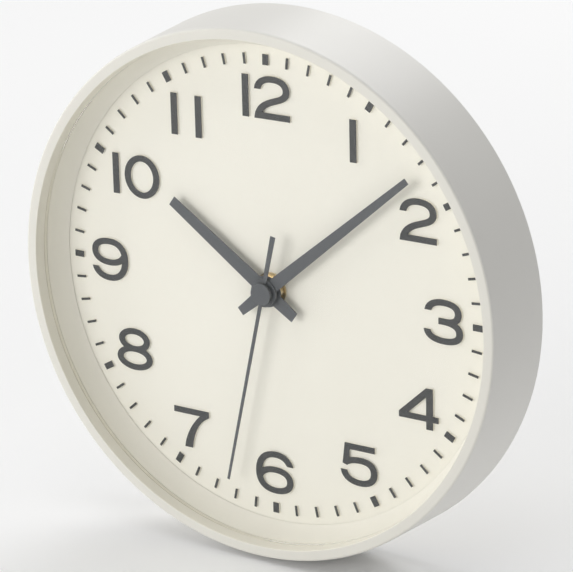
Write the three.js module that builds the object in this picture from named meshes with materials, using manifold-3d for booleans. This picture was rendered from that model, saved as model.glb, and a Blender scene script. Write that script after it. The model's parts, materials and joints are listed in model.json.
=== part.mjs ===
// A 260 mm quartz wall clock: moulded case ring, glass, raised dial, three hands,
// and a standard battery movement with its whole gear train.
// Millimetres, +Z up. The dial faces -Y and the wall is the plane y = 0.
// The origin is the point of the wall hook that the clock hangs on.
import * as THREE from "three";
import { mergeVertices } from "three/addons/utils/BufferGeometryUtils.js";
import Module from "manifold-3d";

// ---- Driving dimensions -----------------------------------------------------------------

const GAP = 0.3; // clearance between pieces that lie against each other
const FIT = 0.1; // clearance of a hand on its pipe

// Case
const CASE_BACK_RADIUS = 130;
const CASE_FRONT_RADIUS = 127.4;
const CASE_DEPTH = 41;
const CASE_SEGMENTS = 48;
const LIP_RADIUS = 122; // clear opening of the front lip
const LIP_DRAFT = 0.4; // the opening narrows by this much down to the glass
const LIP_EDGE = 1.2; // radius of the outer front edge
const RIM_WIDTH = 3.4; // rear edge that lies against the wall
const GLASS_FRONT = -34.6;
const GLASS_THICKNESS = 1.8;
const GLASS_RADIUS = 124;

// Dial
const DIAL_FRONT = -22;
const DIAL_THICKNESS = 1.5;
const DIAL_RADIUS = 123.8;
const DIAL_VIEW_RADIUS = 116; // where the spacer ring meets the dial
const RELIEF = 1; // height of the moulded numerals and minute marks
const MARK_RADIUS = 109.5; // to the middle of every mark
const HOUR_MARK = { width: 2.9, length: 4.9 };
const THIN_MARK = { width: 1, length: 5 };
const NUMERAL_HEIGHT = 19.8;
const UPRIGHT_STROKE = 3.3;
const LEVEL_STROKE = 2.8;

// Back cover and its four screws
const COVER_BACK = -1.6;
const COVER_THICKNESS = 2;
const COVER_RADIUS = 126;
const HOOK_HEIGHT = 86; // hook above the hands' axis
const SCREW_CIRCLE = 96;
const SCREW_ANGLES = [45, 135, 225, 315];
const SCREW = { head: 2.9, shank: 1.3, length: 10, slotLength: 2.8, slotWidth: 0.6 };
const BOSS_RADIUS = 3.6;
const WINDOW_MARGIN = 2.5; // round the movement
const LUG = { count: 6, width: 14, root: 3, reach: 0.8, thickness: 1.2 };

// Hands, drawn at twelve o'clock and turned clockwise by their angle. front is the height of the
// blade's face, and disc the radius of the hub's disc, which stands proud of the blade by raise.
const HOUR_HAND = {
  front: -26.6, thick: 0.5, angle: -55,
  length: 63.2, tail: 18.2, tip: 5, hub: 7.3, end: 5.5,
  disc: 7.6, raise: 0,
};
const MINUTE_HAND = {
  front: -28.6, thick: 0.5, angle: 49.75,
  length: 100.2, tail: 17.6, tip: 3.15, hub: 6.5, end: 4.4,
  disc: 6.8, raise: 0.8,
};
const SECOND_HAND = {
  front: -30.2, thick: 0.4, angle: 192.8,
  length: 99.2, tail: 29.2, tip: 1.3, hub: 1.9, end: 2.7,
  disc: 4, raise: 0,
};
const CAP = { radius: 5.4, thick: 1.5 };

// Concentric pipes and the seconds shaft
const SHAFT_RADIUS = 0.45;
const MINUTE_PIPE = { inner: 0.8, outer: 1.6, front: -28.9 };
const HOUR_PIPE = { inner: 1.9, outer: 2.55, front: -26.8 };
const PIPE_SEGMENTS = 16;
const BUSHING = { inner: 2.85, outer: 4, front: -25.6, flange: 6, flangeThick: 0.6 };
const NUT = { corner: 7.6, thick: 2 };
const WASHER = { radius: 8.2, thick: 0.5 };
const GASKET = { radius: 9, thick: 0.7 };

// Movement
const MOVEMENT = { left: -28, right: 28, bottom: -36, top: 20, front: -19.2, back: -3, wall: 1.2, floor: 1.5 };
const HOUSING_SPLIT = -11.2;
const BAY_TOP = -19.6; // battery bay below this height
const BATTERY = { radius: 7.2, left: -24, length: 49.2, z: -27.3, y: -10.65, button: { radius: 2.7, height: 1.1 } };

// Levels of the wheels, counted from the dial to the back: front face and thickness
const HOUR_LEVEL = { front: -17.4, thick: 1 };
const MINUTE_LEVEL = { front: -16, thick: 1 };
const CENTRE_LEVEL = { front: -14.6, thick: 0.9 };
const BRIDGE_LEVEL = { front: -13.3, thick: 1 };
const THIRD_LEVEL = { front: -11.9, thick: 0.9 };
const FOURTH_LEVEL = { front: -10.6, thick: 0.9 };
const FIFTH_LEVEL = { front: -9.3, thick: 0.9 };

// Teeth and modules; each distance is half the module times both tooth counts
const SECONDS_TRAIN = { rotor: 6, fifth: 36, fifthPinion: 8, fourth: 40, fourthPinion: 6, third: 48 };
const CENTRE_TRAIN = { thirdPinion: 6, centre: 45 };
const MOTION_WORK = { cannon: 10, minuteWheel: 30, minutePinion: 10, hour: 40, knob: 10 };
const ROTOR_MODULE = 0.4;
const FIFTH_MODULE = 0.42;
const FOURTH_MODULE = 0.453;
const THIRD_DISTANCE = (FOURTH_MODULE * (SECONDS_TRAIN.fourthPinion + SECONDS_TRAIN.third)) / 2;
const CENTRE_MODULE = (2 * THIRD_DISTANCE) / (CENTRE_TRAIN.thirdPinion + CENTRE_TRAIN.centre);
const MINUTE_MODULE = 0.55;
const MINUTE_DISTANCE = (MINUTE_MODULE * (MOTION_WORK.cannon + MOTION_WORK.minuteWheel)) / 2;
const HOUR_MODULE = (2 * MINUTE_DISTANCE) / (MOTION_WORK.minutePinion + MOTION_WORK.hour);
const KNOB_DISTANCE = (MINUTE_MODULE * (MOTION_WORK.knob + MOTION_WORK.minuteWheel)) / 2;
const FIFTH_DISTANCE = (FIFTH_MODULE * (SECONDS_TRAIN.fifthPinion + SECONDS_TRAIN.fourth)) / 2;
const ROTOR_DISTANCE = (ROTOR_MODULE * (SECONDS_TRAIN.rotor + SECONDS_TRAIN.fifth)) / 2;

// Directions of the arbors, in degrees from +X towards +Z, seen from the front
const THIRD_DIRECTION = 0;
const FIFTH_DIRECTION = 125;
const ROTOR_DIRECTION = 200; // from the fifth wheel
const MINUTE_DIRECTION = 180;
const KNOB_DIRECTION = 225; // from the minute wheel

const AXIS = new THREE.Vector2(0, 0);
const THIRD_PLACE = stepFrom(AXIS, THIRD_DISTANCE, THIRD_DIRECTION);
const FIFTH_PLACE = stepFrom(AXIS, FIFTH_DISTANCE, FIFTH_DIRECTION);
const ROTOR_PLACE = stepFrom(FIFTH_PLACE, ROTOR_DISTANCE, ROTOR_DIRECTION);
const MINUTE_PLACE = stepFrom(AXIS, MINUTE_DISTANCE, MINUTE_DIRECTION);
const KNOB_PLACE = stepFrom(MINUTE_PLACE, KNOB_DISTANCE, KNOB_DIRECTION);

// ---- Solids -----------------------------------------------------------------------------

const library = await Module();
library.setup();

function radians(degrees) {
  return (degrees * Math.PI) / 180;
}

function stepFrom(start, distance, degrees) {
  const angle = radians(degrees);
  return new THREE.Vector2(start.x + distance * Math.cos(angle), start.y + distance * Math.sin(angle));
}

// A closed geometry as a solid, without the zero-area faces at a lathe's poles.
function toSolid(geometry) {
  const bare = geometry.clone();
  bare.deleteAttribute("normal");
  bare.deleteAttribute("uv");
  const merged = mergeVertices(bare, 1e-4);
  const corners = merged.index.array;
  const kept = [];
  for (let i = 0; i < corners.length; i += 3) {
    const [a, b, c] = [corners[i], corners[i + 1], corners[i + 2]];
    if (a !== b && b !== c && c !== a) kept.push(a, b, c);
  }
  return new library.Manifold(
    new library.Mesh({
      numProp: 3,
      vertProperties: merged.attributes.position.array,
      triVerts: new Uint32Array(kept),
    }),
  );
}

function toGeometry(solid) {
  const mesh = solid.getMesh();
  const geometry = new THREE.BufferGeometry();
  geometry.setAttribute("position", new THREE.BufferAttribute(mesh.vertProperties, 3));
  geometry.setIndex(new THREE.BufferAttribute(mesh.triVerts, 1));
  const flat = geometry.toNonIndexed();
  flat.computeVertexNormals();
  return flat;
}

function join(first, ...others) {
  return toGeometry(others.reduce((sum, other) => sum.add(toSolid(other)), toSolid(first)));
}

function cut(first, ...others) {
  return toGeometry(others.reduce((rest, other) => rest.subtract(toSolid(other)), toSolid(first)));
}

// A ring or disc turned about the hands' axis (Y) from a closed outline of [radius, y] points.
function turned(outline, segments) {
  const points = outline.map(([radius, y]) => new THREE.Vector2(radius, y));
  if (THREE.ShapeUtils.area(points) < 0) points.reverse();
  points.push(points[0].clone());
  return new THREE.LatheGeometry(points, segments);
}

// A plain disc or tube about the axis at (x, z), from y = front to y = back.
function tube(inner, outer, front, back, segments, place = AXIS) {
  const outline = [
    [inner, front],
    [outer, front],
    [outer, back],
    [inner, back],
  ];
  const geometry = turned(outline, segments);
  geometry.translate(place.x, 0, place.y);
  return geometry;
}

function disc(radius, front, back, segments, place = AXIS) {
  return tube(0, radius, front, back, segments, place);
}

// A flat piece: the outline is drawn as seen from the front, and its front face is at y = front.
function plate(shape, front, thickness) {
  const geometry = new THREE.ExtrudeGeometry(shape, { depth: thickness, bevelEnabled: false });
  geometry.rotateX(Math.PI / 2);
  geometry.translate(0, front + thickness, 0);
  return geometry;
}

function polygon(points) {
  return new THREE.Shape(points.map(([x, z]) => new THREE.Vector2(x, z)));
}

function rectangle(left, bottom, right, top) {
  return polygon([
    [left, bottom],
    [right, bottom],
    [right, top],
    [left, top],
  ]);
}

function block(left, bottom, right, top, front, back) {
  return plate(rectangle(left, bottom, right, top), front, back - front);
}

function roundedRectangle(left, bottom, right, top, radius) {
  const corners = [
    [right - radius, top - radius, 0],
    [left + radius, top - radius, 90],
    [left + radius, bottom + radius, 180],
    [right - radius, bottom + radius, 270],
  ];
  const points = [];
  for (const [x, z, start] of corners) {
    for (const turn of [0, 30, 60, 90]) {
      const corner = stepFrom(new THREE.Vector2(x, z), radius, start + turn);
      points.push([corner.x, corner.y]);
    }
  }
  return polygon(points);
}

// ---- Numerals ---------------------------------------------------------------------------

// The pen is broader on upright strokes than on level ones.
function penWidth(direction) {
  return Math.hypot(UPRIGHT_STROKE * direction.y, LEVEL_STROKE * direction.x);
}

// The outline of a pen stroke along a centre line of [x, z] points.
// levelStart and levelEnd cut that end of the stroke off level instead of square.
function stroke(line, levelStart = false, levelEnd = false) {
  const points = line.map(([x, z]) => new THREE.Vector2(x, z));
  const left = [];
  const right = [];
  const last = points.length - 1;
  points.forEach((point, i) => {
    const before = points[Math.max(i - 1, 0)];
    const after = points[Math.min(i + 1, last)];
    const direction = after.clone().sub(before).normalize();
    const half = penWidth(direction) / 2;
    const across = new THREE.Vector2(-direction.y, direction.x);
    const level = (i === 0 && levelStart) || (i === last && levelEnd);
    const side = level ? new THREE.Vector2(-Math.sign(direction.y) * half, 0) : across.multiplyScalar(half);
    left.push(point.clone().add(side));
    right.unshift(point.clone().sub(side));
  });
  return new THREE.Shape([...left, ...right]);
}

// Points along a chain of cubic curves: a start, then two handles and an end for each curve.
function curveLine(start, curves, steps = 8) {
  const line = [start];
  let from = start;
  for (const [first, second, to] of curves) {
    const curve = new THREE.CubicBezierCurve(...[from, first, second, to].map(([x, z]) => new THREE.Vector2(x, z)));
    for (let i = 1; i <= steps; i++) {
      const point = curve.getPoint(i / steps);
      line.push([point.x, point.y]);
    }
    from = to;
  }
  return line;
}

function ovalPoints(x, z, width, height, count) {
  const points = [];
  for (let i = 0; i < count; i++) {
    const angle = (2 * Math.PI * i) / count;
    points.push([x + width * Math.cos(angle), z + height * Math.sin(angle)]);
  }
  return points;
}

// A closed oval stroke of the pen.
function ovalRing(x, z, width, height, count = 36) {
  const shape = polygon(ovalPoints(x, z, width + UPRIGHT_STROKE / 2, height + LEVEL_STROKE / 2, count));
  const inside = polygon(ovalPoints(x, z, width - UPRIGHT_STROKE / 2, height - LEVEL_STROKE / 2, count));
  shape.holes.push(inside);
  return shape;
}

const TOP = NUMERAL_HEIGHT / 2;

function six() {
  const sweep = curveLine(
    [8.5, 4.4],
    [
      [[7.2, 7.6], [4.3, 9.25], [0.3, 9.25]],
      [[-5.6, 9.25], [-9.1, 5.6], [-9.1, -0.6]],
      [[-9.1, -6.2], [-5.6, -9.1], [-0.3, -9.1]],
      [[4.7, -9.1], [8.35, -7.4], [8.35, -3.8]],
      [[8.35, -0.4], [5, 1.5], [0, 1.5]],
      [[-4, 1.5], [-7, 0.2], [-8.6, -2.4]],
    ],
  );
  return [stroke(sweep, true)];
}

function nine() {
  return six().map((shape) => new THREE.Shape(shape.getPoints().map((p) => new THREE.Vector2(-p.x, -p.y))));
}

// Each numeral is a list of shapes about its own centre, which are joined.
const NUMERALS = {
  0: () => [ovalRing(0, 0, 8.2, 9.1)],
  1: () => [rectangle(-UPRIGHT_STROKE / 2, -TOP, UPRIGHT_STROKE / 2, TOP)],
  2: () => [
    stroke(
      curveLine(
        [-7.7, 3.9],
        [
          [[-7.2, 7.3], [-3.9, 9], [0, 9]],
          [[4.6, 9], [7.8, 7.4], [7.8, 4]],
          [[7.8, 0.9], [5.2, 0.1], [1, -1.3]],
          [[-4, -2.9], [-7.4, -5], [-7.8, -TOP]],
        ],
      ),
      true,
      true,
    ),
    rectangle(-9, -TOP, 9.5, -TOP + LEVEL_STROKE),
  ],
  3: () => [
    stroke(
      curveLine(
        [-8, 4.6],
        [
          [[-7.5, 7.5], [-4.3, 9.05], [-0.2, 9.05]],
          [[4.8, 9.05], [7.6, 7.5], [7.6, 4.4]],
          [[7.6, 1.6], [5.6, 0.1], [1.5, 0.1]],
          [[0.2, 0.1], [-1.2, 0.1], [-2.5, 0.1]],
        ],
      ),
      true,
    ),
    stroke(
      curveLine(
        [-1, 0.1],
        [
          [[5, 0.1], [8.3, -1.5], [8.3, -4.8]],
          [[8.3, -8], [5, -9.2], [0.2, -9.2]],
          [[-4.6, -9.2], [-8, -7.7], [-8.5, -4.7]],
        ],
      ),
      false,
      true,
    ),
  ],
  4: () => {
    const outline = polygon([
      [-10.3, -6.1],
      [4.05, -6.1],
      [4.05, -TOP],
      [7.4, -TOP],
      [7.4, -6.1],
      [10.3, -6.1],
      [10.3, -3.4],
      [7.4, -3.4],
      [7.4, TOP],
      [3.9, TOP],
      [-10.3, -3.3],
    ]);
    outline.holes.push(polygon([[-5.8, -3.4], [4.05, -3.4], [4.05, 5.8]]));
    return [outline];
  },
  5: () => [
    rectangle(-7.4, TOP - LEVEL_STROKE, 8.6, TOP),
    polygon([[-8.7, -0.4], [-6.3, -1.1], [-5.4, 0.4], [-4.9, TOP - 1], [-7.4, TOP]]),
    stroke(
      curveLine(
        [-7.3, 0.1],
        [
          [[-5.2, 1.6], [-2.4, 2.2], [0.9, 2.2]],
          [[5.6, 2.2], [8.25, 0.3], [8.25, -3.3]],
          [[8.25, -7.2], [5, -9.1], [0.4, -9.1]],
          [[-4, -9.1], [-7.4, -7.4], [-8.2, -3.7]],
        ],
      ),
      false,
      true,
    ),
  ],
  6: six,
  7: () => [
    polygon(
      [
        [-10, TOP - LEVEL_STROKE],
        ...curveLine([4.9, TOP - LEVEL_STROKE], [[[-0.6, 1.8], [-3.6, -4.6], [-4.2, -TOP]]]),
        ...curveLine([0, -TOP], [[[0.7, -3.5], [3, 3.6], [9.8, 7]]]),
        [9.8, TOP],
        [-10, TOP],
      ],
    ),
  ],
  8: () => [ovalRing(0, 4.6, 7.3, 4.5), ovalRing(0, -4.5, 8.6, 4.65)],
  9: nine,
};

// Where each figure stands on the dial: its text, and the place of its centre.
const FIGURES = [
  ["1", -11.3, 91.6], ["2", 3, 91.6],
  ["1", 45.8, 77.6],
  ["2", 79.1, 45.3],
  ["3", 91.9, 0],
  ["4", 78.7, -43.5],
  ["5", 46.4, -78.3],
  ["6", 0, -91.7],
  ["7", -47, -78.3],
  ["8", -79.1, -43.7],
  ["9", -91.8, -0.2],
  ["1", -85.9, 43.9], ["0", -70.9, 43.9],
  ["1", -51.2, 77.6], ["1", -37.7, 77.6],
];

// ---- Dial -------------------------------------------------------------------------------

function raised(shape) {
  return plate(shape, DIAL_FRONT - RELIEF, RELIEF + DIAL_THICKNESS / 2);
}

function dialGeometry() {
  const pieces = [];
  for (let minute = 0; minute < 60; minute++) {
    const { width, length } = minute % 5 === 0 ? HOUR_MARK : THIN_MARK;
    const mark = raised(rectangle(-width / 2, MARK_RADIUS - length / 2, width / 2, MARK_RADIUS + length / 2));
    mark.rotateY(radians(6 * minute));
    pieces.push(mark);
  }
  for (const [figure, x, z] of FIGURES) {
    for (const shape of NUMERALS[figure]()) {
      const piece = raised(shape);
      piece.translate(x, 0, z);
      pieces.push(piece);
    }
  }
  for (const angle of SCREW_ANGLES) {
    const place = stepFrom(AXIS, SCREW_CIRCLE, angle);
    const back = COVER_BACK - COVER_THICKNESS - GAP;
    pieces.push(disc(BOSS_RADIUS, DIAL_FRONT + DIAL_THICKNESS / 2, back, 14, place));
  }
  const blank = turned(
    [
      [BUSHING.outer + GAP, DIAL_FRONT],
      [DIAL_RADIUS, DIAL_FRONT],
      [DIAL_RADIUS, DIAL_FRONT + DIAL_THICKNESS],
      [BUSHING.outer + GAP, DIAL_FRONT + DIAL_THICKNESS],
    ],
    CASE_SEGMENTS,
  );
  const holes = SCREW_ANGLES.map((angle) => {
    const bottom = DIAL_FRONT + DIAL_THICKNESS + 3;
    return disc(SCREW.shank + GAP, bottom, 0, 8, stepFrom(AXIS, SCREW_CIRCLE, angle));
  });
  return cut(join(blank, ...pieces), ...holes);
}

// ---- Case -------------------------------------------------------------------------------

function caseGeometry() {
  const front = -CASE_DEPTH;
  const lipInner = LIP_RADIUS - LIP_DRAFT;
  const seat = GLASS_FRONT - GAP;
  const innerFront = GLASS_RADIUS + 0.5;
  const innerBack = CASE_BACK_RADIUS - RIM_WIDTH;
  const grooveFront = COVER_BACK - COVER_THICKNESS - 0.5;
  const grooveBack = grooveFront + 2;
  const groove = innerBack + 0.8;
  return turned(
    [
      [CASE_BACK_RADIUS, 0],
      [innerBack, 0],
      [innerBack, grooveBack],
      [groove, grooveBack],
      [groove, grooveFront],
      [innerBack - 0.1, grooveFront],
      [innerFront, seat],
      [lipInner, seat],
      [LIP_RADIUS, front + 0.5],
      [LIP_RADIUS + 0.5, front],
      [CASE_FRONT_RADIUS - LIP_EDGE, front],
      [CASE_FRONT_RADIUS - 0.35, front + 0.35],
      [CASE_FRONT_RADIUS, front + LIP_EDGE],
    ],
    CASE_SEGMENTS,
  );
}

// A ring that holds the dial back from the glass and coves in to the edge of the dial.
function spacerGeometry() {
  const front = GLASS_FRONT + GLASS_THICKNESS + GAP;
  const back = DIAL_FRONT - GAP;
  const top = LIP_RADIUS - LIP_DRAFT - 0.2;
  return turned(
    [
      [GLASS_RADIUS, front],
      [GLASS_RADIUS, back],
      [DIAL_VIEW_RADIUS, back],
      [118, -24.6],
      [120, -27.6],
      [top, front + 1.5],
      [top, front],
    ],
    CASE_SEGMENTS,
  );
}

// The hanging hole: wide below so that a nail head passes, with a narrow seat at the top.
function hangingHole() {
  const shape = polygon([
    [-11, -15],
    [11, -15],
    [11, -9],
    [2.4, -2.4],
    [1.7, -0.7],
    [0, 0],
    [-1.7, -0.7],
    [-2.4, -2.4],
    [-11, -9],
  ]);
  return plate(shape, COVER_BACK - COVER_THICKNESS - 5, 10).translate(0, 0, HOOK_HEIGHT);
}

function coverGeometry() {
  const front = COVER_BACK - COVER_THICKNESS;
  const pieces = [];
  for (let i = 0; i < LUG.count; i++) {
    const half = LUG.width / 2;
    const lug = block(-half, COVER_RADIUS - LUG.root, half, COVER_RADIUS + LUG.reach, front, front + LUG.thickness);
    lug.rotateY(radians((360 / LUG.count) * (i + 0.5)));
    pieces.push(lug);
  }
  const thickening = block(-17, HOOK_HEIGHT - 21, 17, HOOK_HEIGHT + 6, front - 1.5, front + 1);
  const window = roundedRectangle(
    MOVEMENT.left - WINDOW_MARGIN,
    MOVEMENT.bottom - WINDOW_MARGIN,
    MOVEMENT.right + WINDOW_MARGIN,
    MOVEMENT.top + WINDOW_MARGIN,
    4,
  );
  const holes = SCREW_ANGLES.map((angle) => {
    return disc(SCREW.shank + 0.4, front - 1, 0, 12, stepFrom(AXIS, SCREW_CIRCLE, angle));
  });
  return cut(
    join(disc(COVER_RADIUS, front, COVER_BACK, CASE_SEGMENTS), thickening, ...pieces),
    plate(window, front - 5, 10),
    hangingHole(),
    ...holes,
  );
}

// A pan-head self-tapping screw with a cross recess, driven from the back.
function screwGeometry(angle) {
  const place = stepFrom(AXIS, SCREW_CIRCLE, angle);
  const seat = COVER_BACK + 0.1;
  const head = turned(
    [
      [0, seat],
      [SCREW.head, seat],
      [SCREW.head, seat + 0.6],
      [2, seat + 1.2],
      [0, seat + 1.3],
    ],
    12,
  ).translate(place.x, 0, place.y);
  const shank = disc(SCREW.shank, seat - SCREW.length, seat + 0.2, 8, place);
  const long = SCREW.slotLength / 2;
  const narrow = SCREW.slotWidth / 2;
  const recess = [
    block(-long, -narrow, long, narrow, seat + 0.6, seat + 3),
    block(-narrow, -long, narrow, long, seat + 0.6, seat + 3),
  ].map((slot) => slot.translate(place.x, 0, place.y));
  return cut(join(head, shank), ...recess);
}

// ---- Hands ------------------------------------------------------------------------------

// A blade drawn at twelve o'clock, tapering from the hub to the tip and to the tail's end.
function blade(hand) {
  return polygon([
    [-hand.end / 2, -hand.tail],
    [hand.end / 2, -hand.tail],
    [hand.hub / 2, 0],
    [hand.tip / 2, hand.length],
    [-hand.tip / 2, hand.length],
    [-hand.hub / 2, 0],
  ]);
}

function handGeometry(hand, boreRadius, boreSegments) {
  const { front, thick, disc: hubRadius, raise } = hand;
  const solid = join(plate(blade(hand), front, thick), disc(hubRadius, front - raise, front + thick, 40));
  const bore = disc(boreRadius + FIT, front - 2, front + thick + 2, boreSegments);
  return cut(solid, bore).rotateY(radians(hand.angle));
}

function secondCapGeometry() {
  const back = SECOND_HAND.front - GAP;
  return turned(
    [
      [0, back],
      [CAP.radius, back],
      [CAP.radius, back - CAP.thick + 0.3],
      [CAP.radius - 0.25, back - CAP.thick + 0.05],
      [0, back - CAP.thick],
    ],
    40,
  );
}

// ---- Bushing, nut and washers -----------------------------------------------------------

function bushingGeometry() {
  const flange = MOVEMENT.front + 0.8;
  return turned(
    [
      [BUSHING.inner, BUSHING.front],
      [BUSHING.outer - 0.3, BUSHING.front],
      [BUSHING.outer, BUSHING.front + 0.3],
      [BUSHING.outer, flange],
      [BUSHING.flange, flange],
      [BUSHING.flange, flange + BUSHING.flangeThick],
      [BUSHING.inner, flange + BUSHING.flangeThick],
    ],
    24,
  );
}

function nutGeometry() {
  const washerFront = DIAL_FRONT - GAP - WASHER.thick;
  const corners = [0, 60, 120, 180, 240, 300].map((angle) => stepFrom(AXIS, NUT.corner, angle));
  const hexagon = new THREE.Shape(corners);
  const body = plate(hexagon, washerFront - GAP - NUT.thick, NUT.thick);
  const bore = disc(BUSHING.outer + GAP, washerFront - 5, washerFront + 5, 24);
  return cut(body, bore);
}

// ---- Gears ------------------------------------------------------------------------------

// How far the teeth reach out and in from the pitch circle, in modules.
const TOOTH = { tip: 0.68, root: 1.05 };
// Half the width of a tooth at its root and at its tip, as a share of the pitch.
const TOOTH_HALF = { root: 0.25, tip: 0.08 };

// A spur gear's outline: four points a tooth, with room for backlash.
// phase turns the first tooth, in degrees from +X towards +Z.
function gearShape(teeth, module, phase, place, bore = 0) {
  const pitch = 360 / teeth;
  const pitchRadius = (teeth * module) / 2;
  const rootRadius = pitchRadius - TOOTH.root * module;
  const tipRadius = pitchRadius + TOOTH.tip * module;
  const points = [];
  for (let i = 0; i < teeth; i++) {
    const middle = phase + i * pitch;
    points.push(stepFrom(place, rootRadius, middle - TOOTH_HALF.root * pitch));
    points.push(stepFrom(place, tipRadius, middle - TOOTH_HALF.tip * pitch));
    points.push(stepFrom(place, tipRadius, middle + TOOTH_HALF.tip * pitch));
    points.push(stepFrom(place, rootRadius, middle + TOOTH_HALF.root * pitch));
  }
  const shape = new THREE.Shape(points);
  if (bore) shape.holes.push(polygon(ovalPoints(place.x, place.y, bore, bore, PIPE_SEGMENTS)));
  return shape;
}

function gear(teeth, module, level, phase, place, bore = 0, extra = 0) {
  return plate(gearShape(teeth, module, phase, place, bore), level.front - extra, level.thick + 2 * extra);
}

// The phase that sets a second gear's gaps on the first gear's teeth, where the second lies in
// the given direction from the first. A first gear has a tooth on that line unless it says not.
function meshPhase(direction, teeth, firstTeeth = 1, firstPhase = direction) {
  const shift = ((firstPhase - direction) * firstTeeth) / 360;
  return direction + 180 - (360 / teeth) * (shift + 0.5);
}

const ARBOR_RADIUS = 0.5;
const PIVOT_HOLE = 0.8; // radius of the holes that the arbors turn in
const PIVOT_DEPTH = 0.6; // how far an arbor's end goes into its plate
const COLLAR_RADIUS = 1; // thicker part of an arbor between a wheel and its pinion
const FRONT_FLOOR = MOVEMENT.front + MOVEMENT.floor;
const BACK_FLOOR = MOVEMENT.back - MOVEMENT.floor;

// Phases along the train, each taken from the gear before it.
const FOURTH_PHASE = meshPhase(FIFTH_DIRECTION + 180, SECONDS_TRAIN.fourth);
const THIRD_PHASE = meshPhase(THIRD_DIRECTION, SECONDS_TRAIN.third);
const CENTRE_PHASE = meshPhase(THIRD_DIRECTION + 180, CENTRE_TRAIN.centre);
const FIFTH_PHASE = meshPhase(ROTOR_DIRECTION + 180, SECONDS_TRAIN.fifth);
const MINUTE_WHEEL_PHASE = meshPhase(MINUTE_DIRECTION, MOTION_WORK.minuteWheel);
const HOUR_PHASE = meshPhase(MINUTE_DIRECTION + 180, MOTION_WORK.hour);
const KNOB_PHASE = meshPhase(KNOB_DIRECTION, MOTION_WORK.knob, MOTION_WORK.minuteWheel, MINUTE_WHEEL_PHASE);

function arbor(front, back, place) {
  return disc(ARBOR_RADIUS, front, back, 10, place);
}

function hourWheelGeometry() {
  return join(
    gear(MOTION_WORK.hour, HOUR_MODULE, HOUR_LEVEL, HOUR_PHASE, AXIS, HOUR_PIPE.inner),
    tube(HOUR_PIPE.inner, HOUR_PIPE.outer, HOUR_PIPE.front, HOUR_LEVEL.front + 0.2, PIPE_SEGMENTS),
  );
}

function cannonPinionGeometry() {
  return join(
    gear(MOTION_WORK.cannon, MINUTE_MODULE, MINUTE_LEVEL, MINUTE_DIRECTION, AXIS, MINUTE_PIPE.inner, 0.1),
    tube(MINUTE_PIPE.inner, MINUTE_PIPE.outer, MINUTE_PIPE.front, CENTRE_LEVEL.front + CENTRE_LEVEL.thick, PIPE_SEGMENTS),
  );
}

function minuteWheelGeometry() {
  const pinionLevel = { front: HOUR_LEVEL.front, thick: MINUTE_LEVEL.front - HOUR_LEVEL.front + 0.2 };
  return join(
    gear(MOTION_WORK.minuteWheel, MINUTE_MODULE, MINUTE_LEVEL, MINUTE_WHEEL_PHASE, MINUTE_PLACE),
    gear(MOTION_WORK.minutePinion, HOUR_MODULE, pinionLevel, MINUTE_DIRECTION + 180, MINUTE_PLACE),
    arbor(FRONT_FLOOR - PIVOT_DEPTH, CENTRE_LEVEL.front - GAP, MINUTE_PLACE),
  );
}

function centreWheelGeometry() {
  const bore = MINUTE_PIPE.outer + GAP;
  return plate(
    gearShape(CENTRE_TRAIN.centre, CENTRE_MODULE, CENTRE_PHASE, AXIS, bore),
    CENTRE_LEVEL.front,
    CENTRE_LEVEL.thick,
  );
}

function thirdWheelGeometry() {
  const place = THIRD_PLACE;
  return join(
    gear(SECONDS_TRAIN.third, FOURTH_MODULE, THIRD_LEVEL, THIRD_PHASE, place),
    gear(CENTRE_TRAIN.thirdPinion, CENTRE_MODULE, CENTRE_LEVEL, THIRD_DIRECTION + 180, place, 0, 0.1),
    arbor(FRONT_FLOOR - PIVOT_DEPTH, BACK_FLOOR + PIVOT_DEPTH, place),
  );
}

function fourthWheelGeometry() {
  return join(
    gear(SECONDS_TRAIN.fourth, FIFTH_MODULE, FOURTH_LEVEL, FOURTH_PHASE, AXIS),
    gear(SECONDS_TRAIN.fourthPinion, FOURTH_MODULE, THIRD_LEVEL, THIRD_DIRECTION, AXIS, 0, 0.1),
    disc(SHAFT_RADIUS, SECOND_HAND.front - 0.1, BACK_FLOOR + PIVOT_DEPTH, 12),
    disc(COLLAR_RADIUS, THIRD_LEVEL.front, FOURTH_LEVEL.front + 0.2, 12),
  );
}

function fifthWheelGeometry() {
  const place = FIFTH_PLACE;
  return join(
    gear(SECONDS_TRAIN.fifth, ROTOR_MODULE, FIFTH_LEVEL, FIFTH_PHASE, place),
    gear(SECONDS_TRAIN.fifthPinion, FIFTH_MODULE, FOURTH_LEVEL, FIFTH_DIRECTION + 180, place, 0, 0.1),
    disc(COLLAR_RADIUS, FOURTH_LEVEL.front, FIFTH_LEVEL.front + 0.2, 12, place),
    arbor(BRIDGE_LEVEL.front + BRIDGE_LEVEL.thick - PIVOT_DEPTH, BACK_FLOOR + PIVOT_DEPTH, place),
  );
}

const MAGNET = { front: -11.3, back: -9.9, radius: 3 };

function rotorGeometry() {
  const place = ROTOR_PLACE;
  return join(
    gear(SECONDS_TRAIN.rotor, ROTOR_MODULE, FIFTH_LEVEL, ROTOR_DIRECTION + 180, place, 0, 0.2),
    arbor(BRIDGE_LEVEL.front + BRIDGE_LEVEL.thick - PIVOT_DEPTH, BACK_FLOOR + PIVOT_DEPTH, place),
  );
}

function magnetGeometry() {
  return tube(ARBOR_RADIUS + FIT, MAGNET.radius, MAGNET.front, MAGNET.back, 20, ROTOR_PLACE);
}

const KNOB = { stem: 1, ribs: 16, ribModule: 0.6, grip: 1.9 };

function knobGeometry() {
  const place = KNOB_PLACE;
  const grip = gearShape(KNOB.ribs, KNOB.ribModule, 0, place);
  return join(
    gear(MOTION_WORK.knob, MINUTE_MODULE, MINUTE_LEVEL, KNOB_PHASE, place, 0, 0.1),
    disc(KNOB.stem, MINUTE_LEVEL.front, MOVEMENT.back + 1, 12, place),
    plate(grip, MOVEMENT.back + GAP, KNOB.grip),
  );
}

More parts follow.
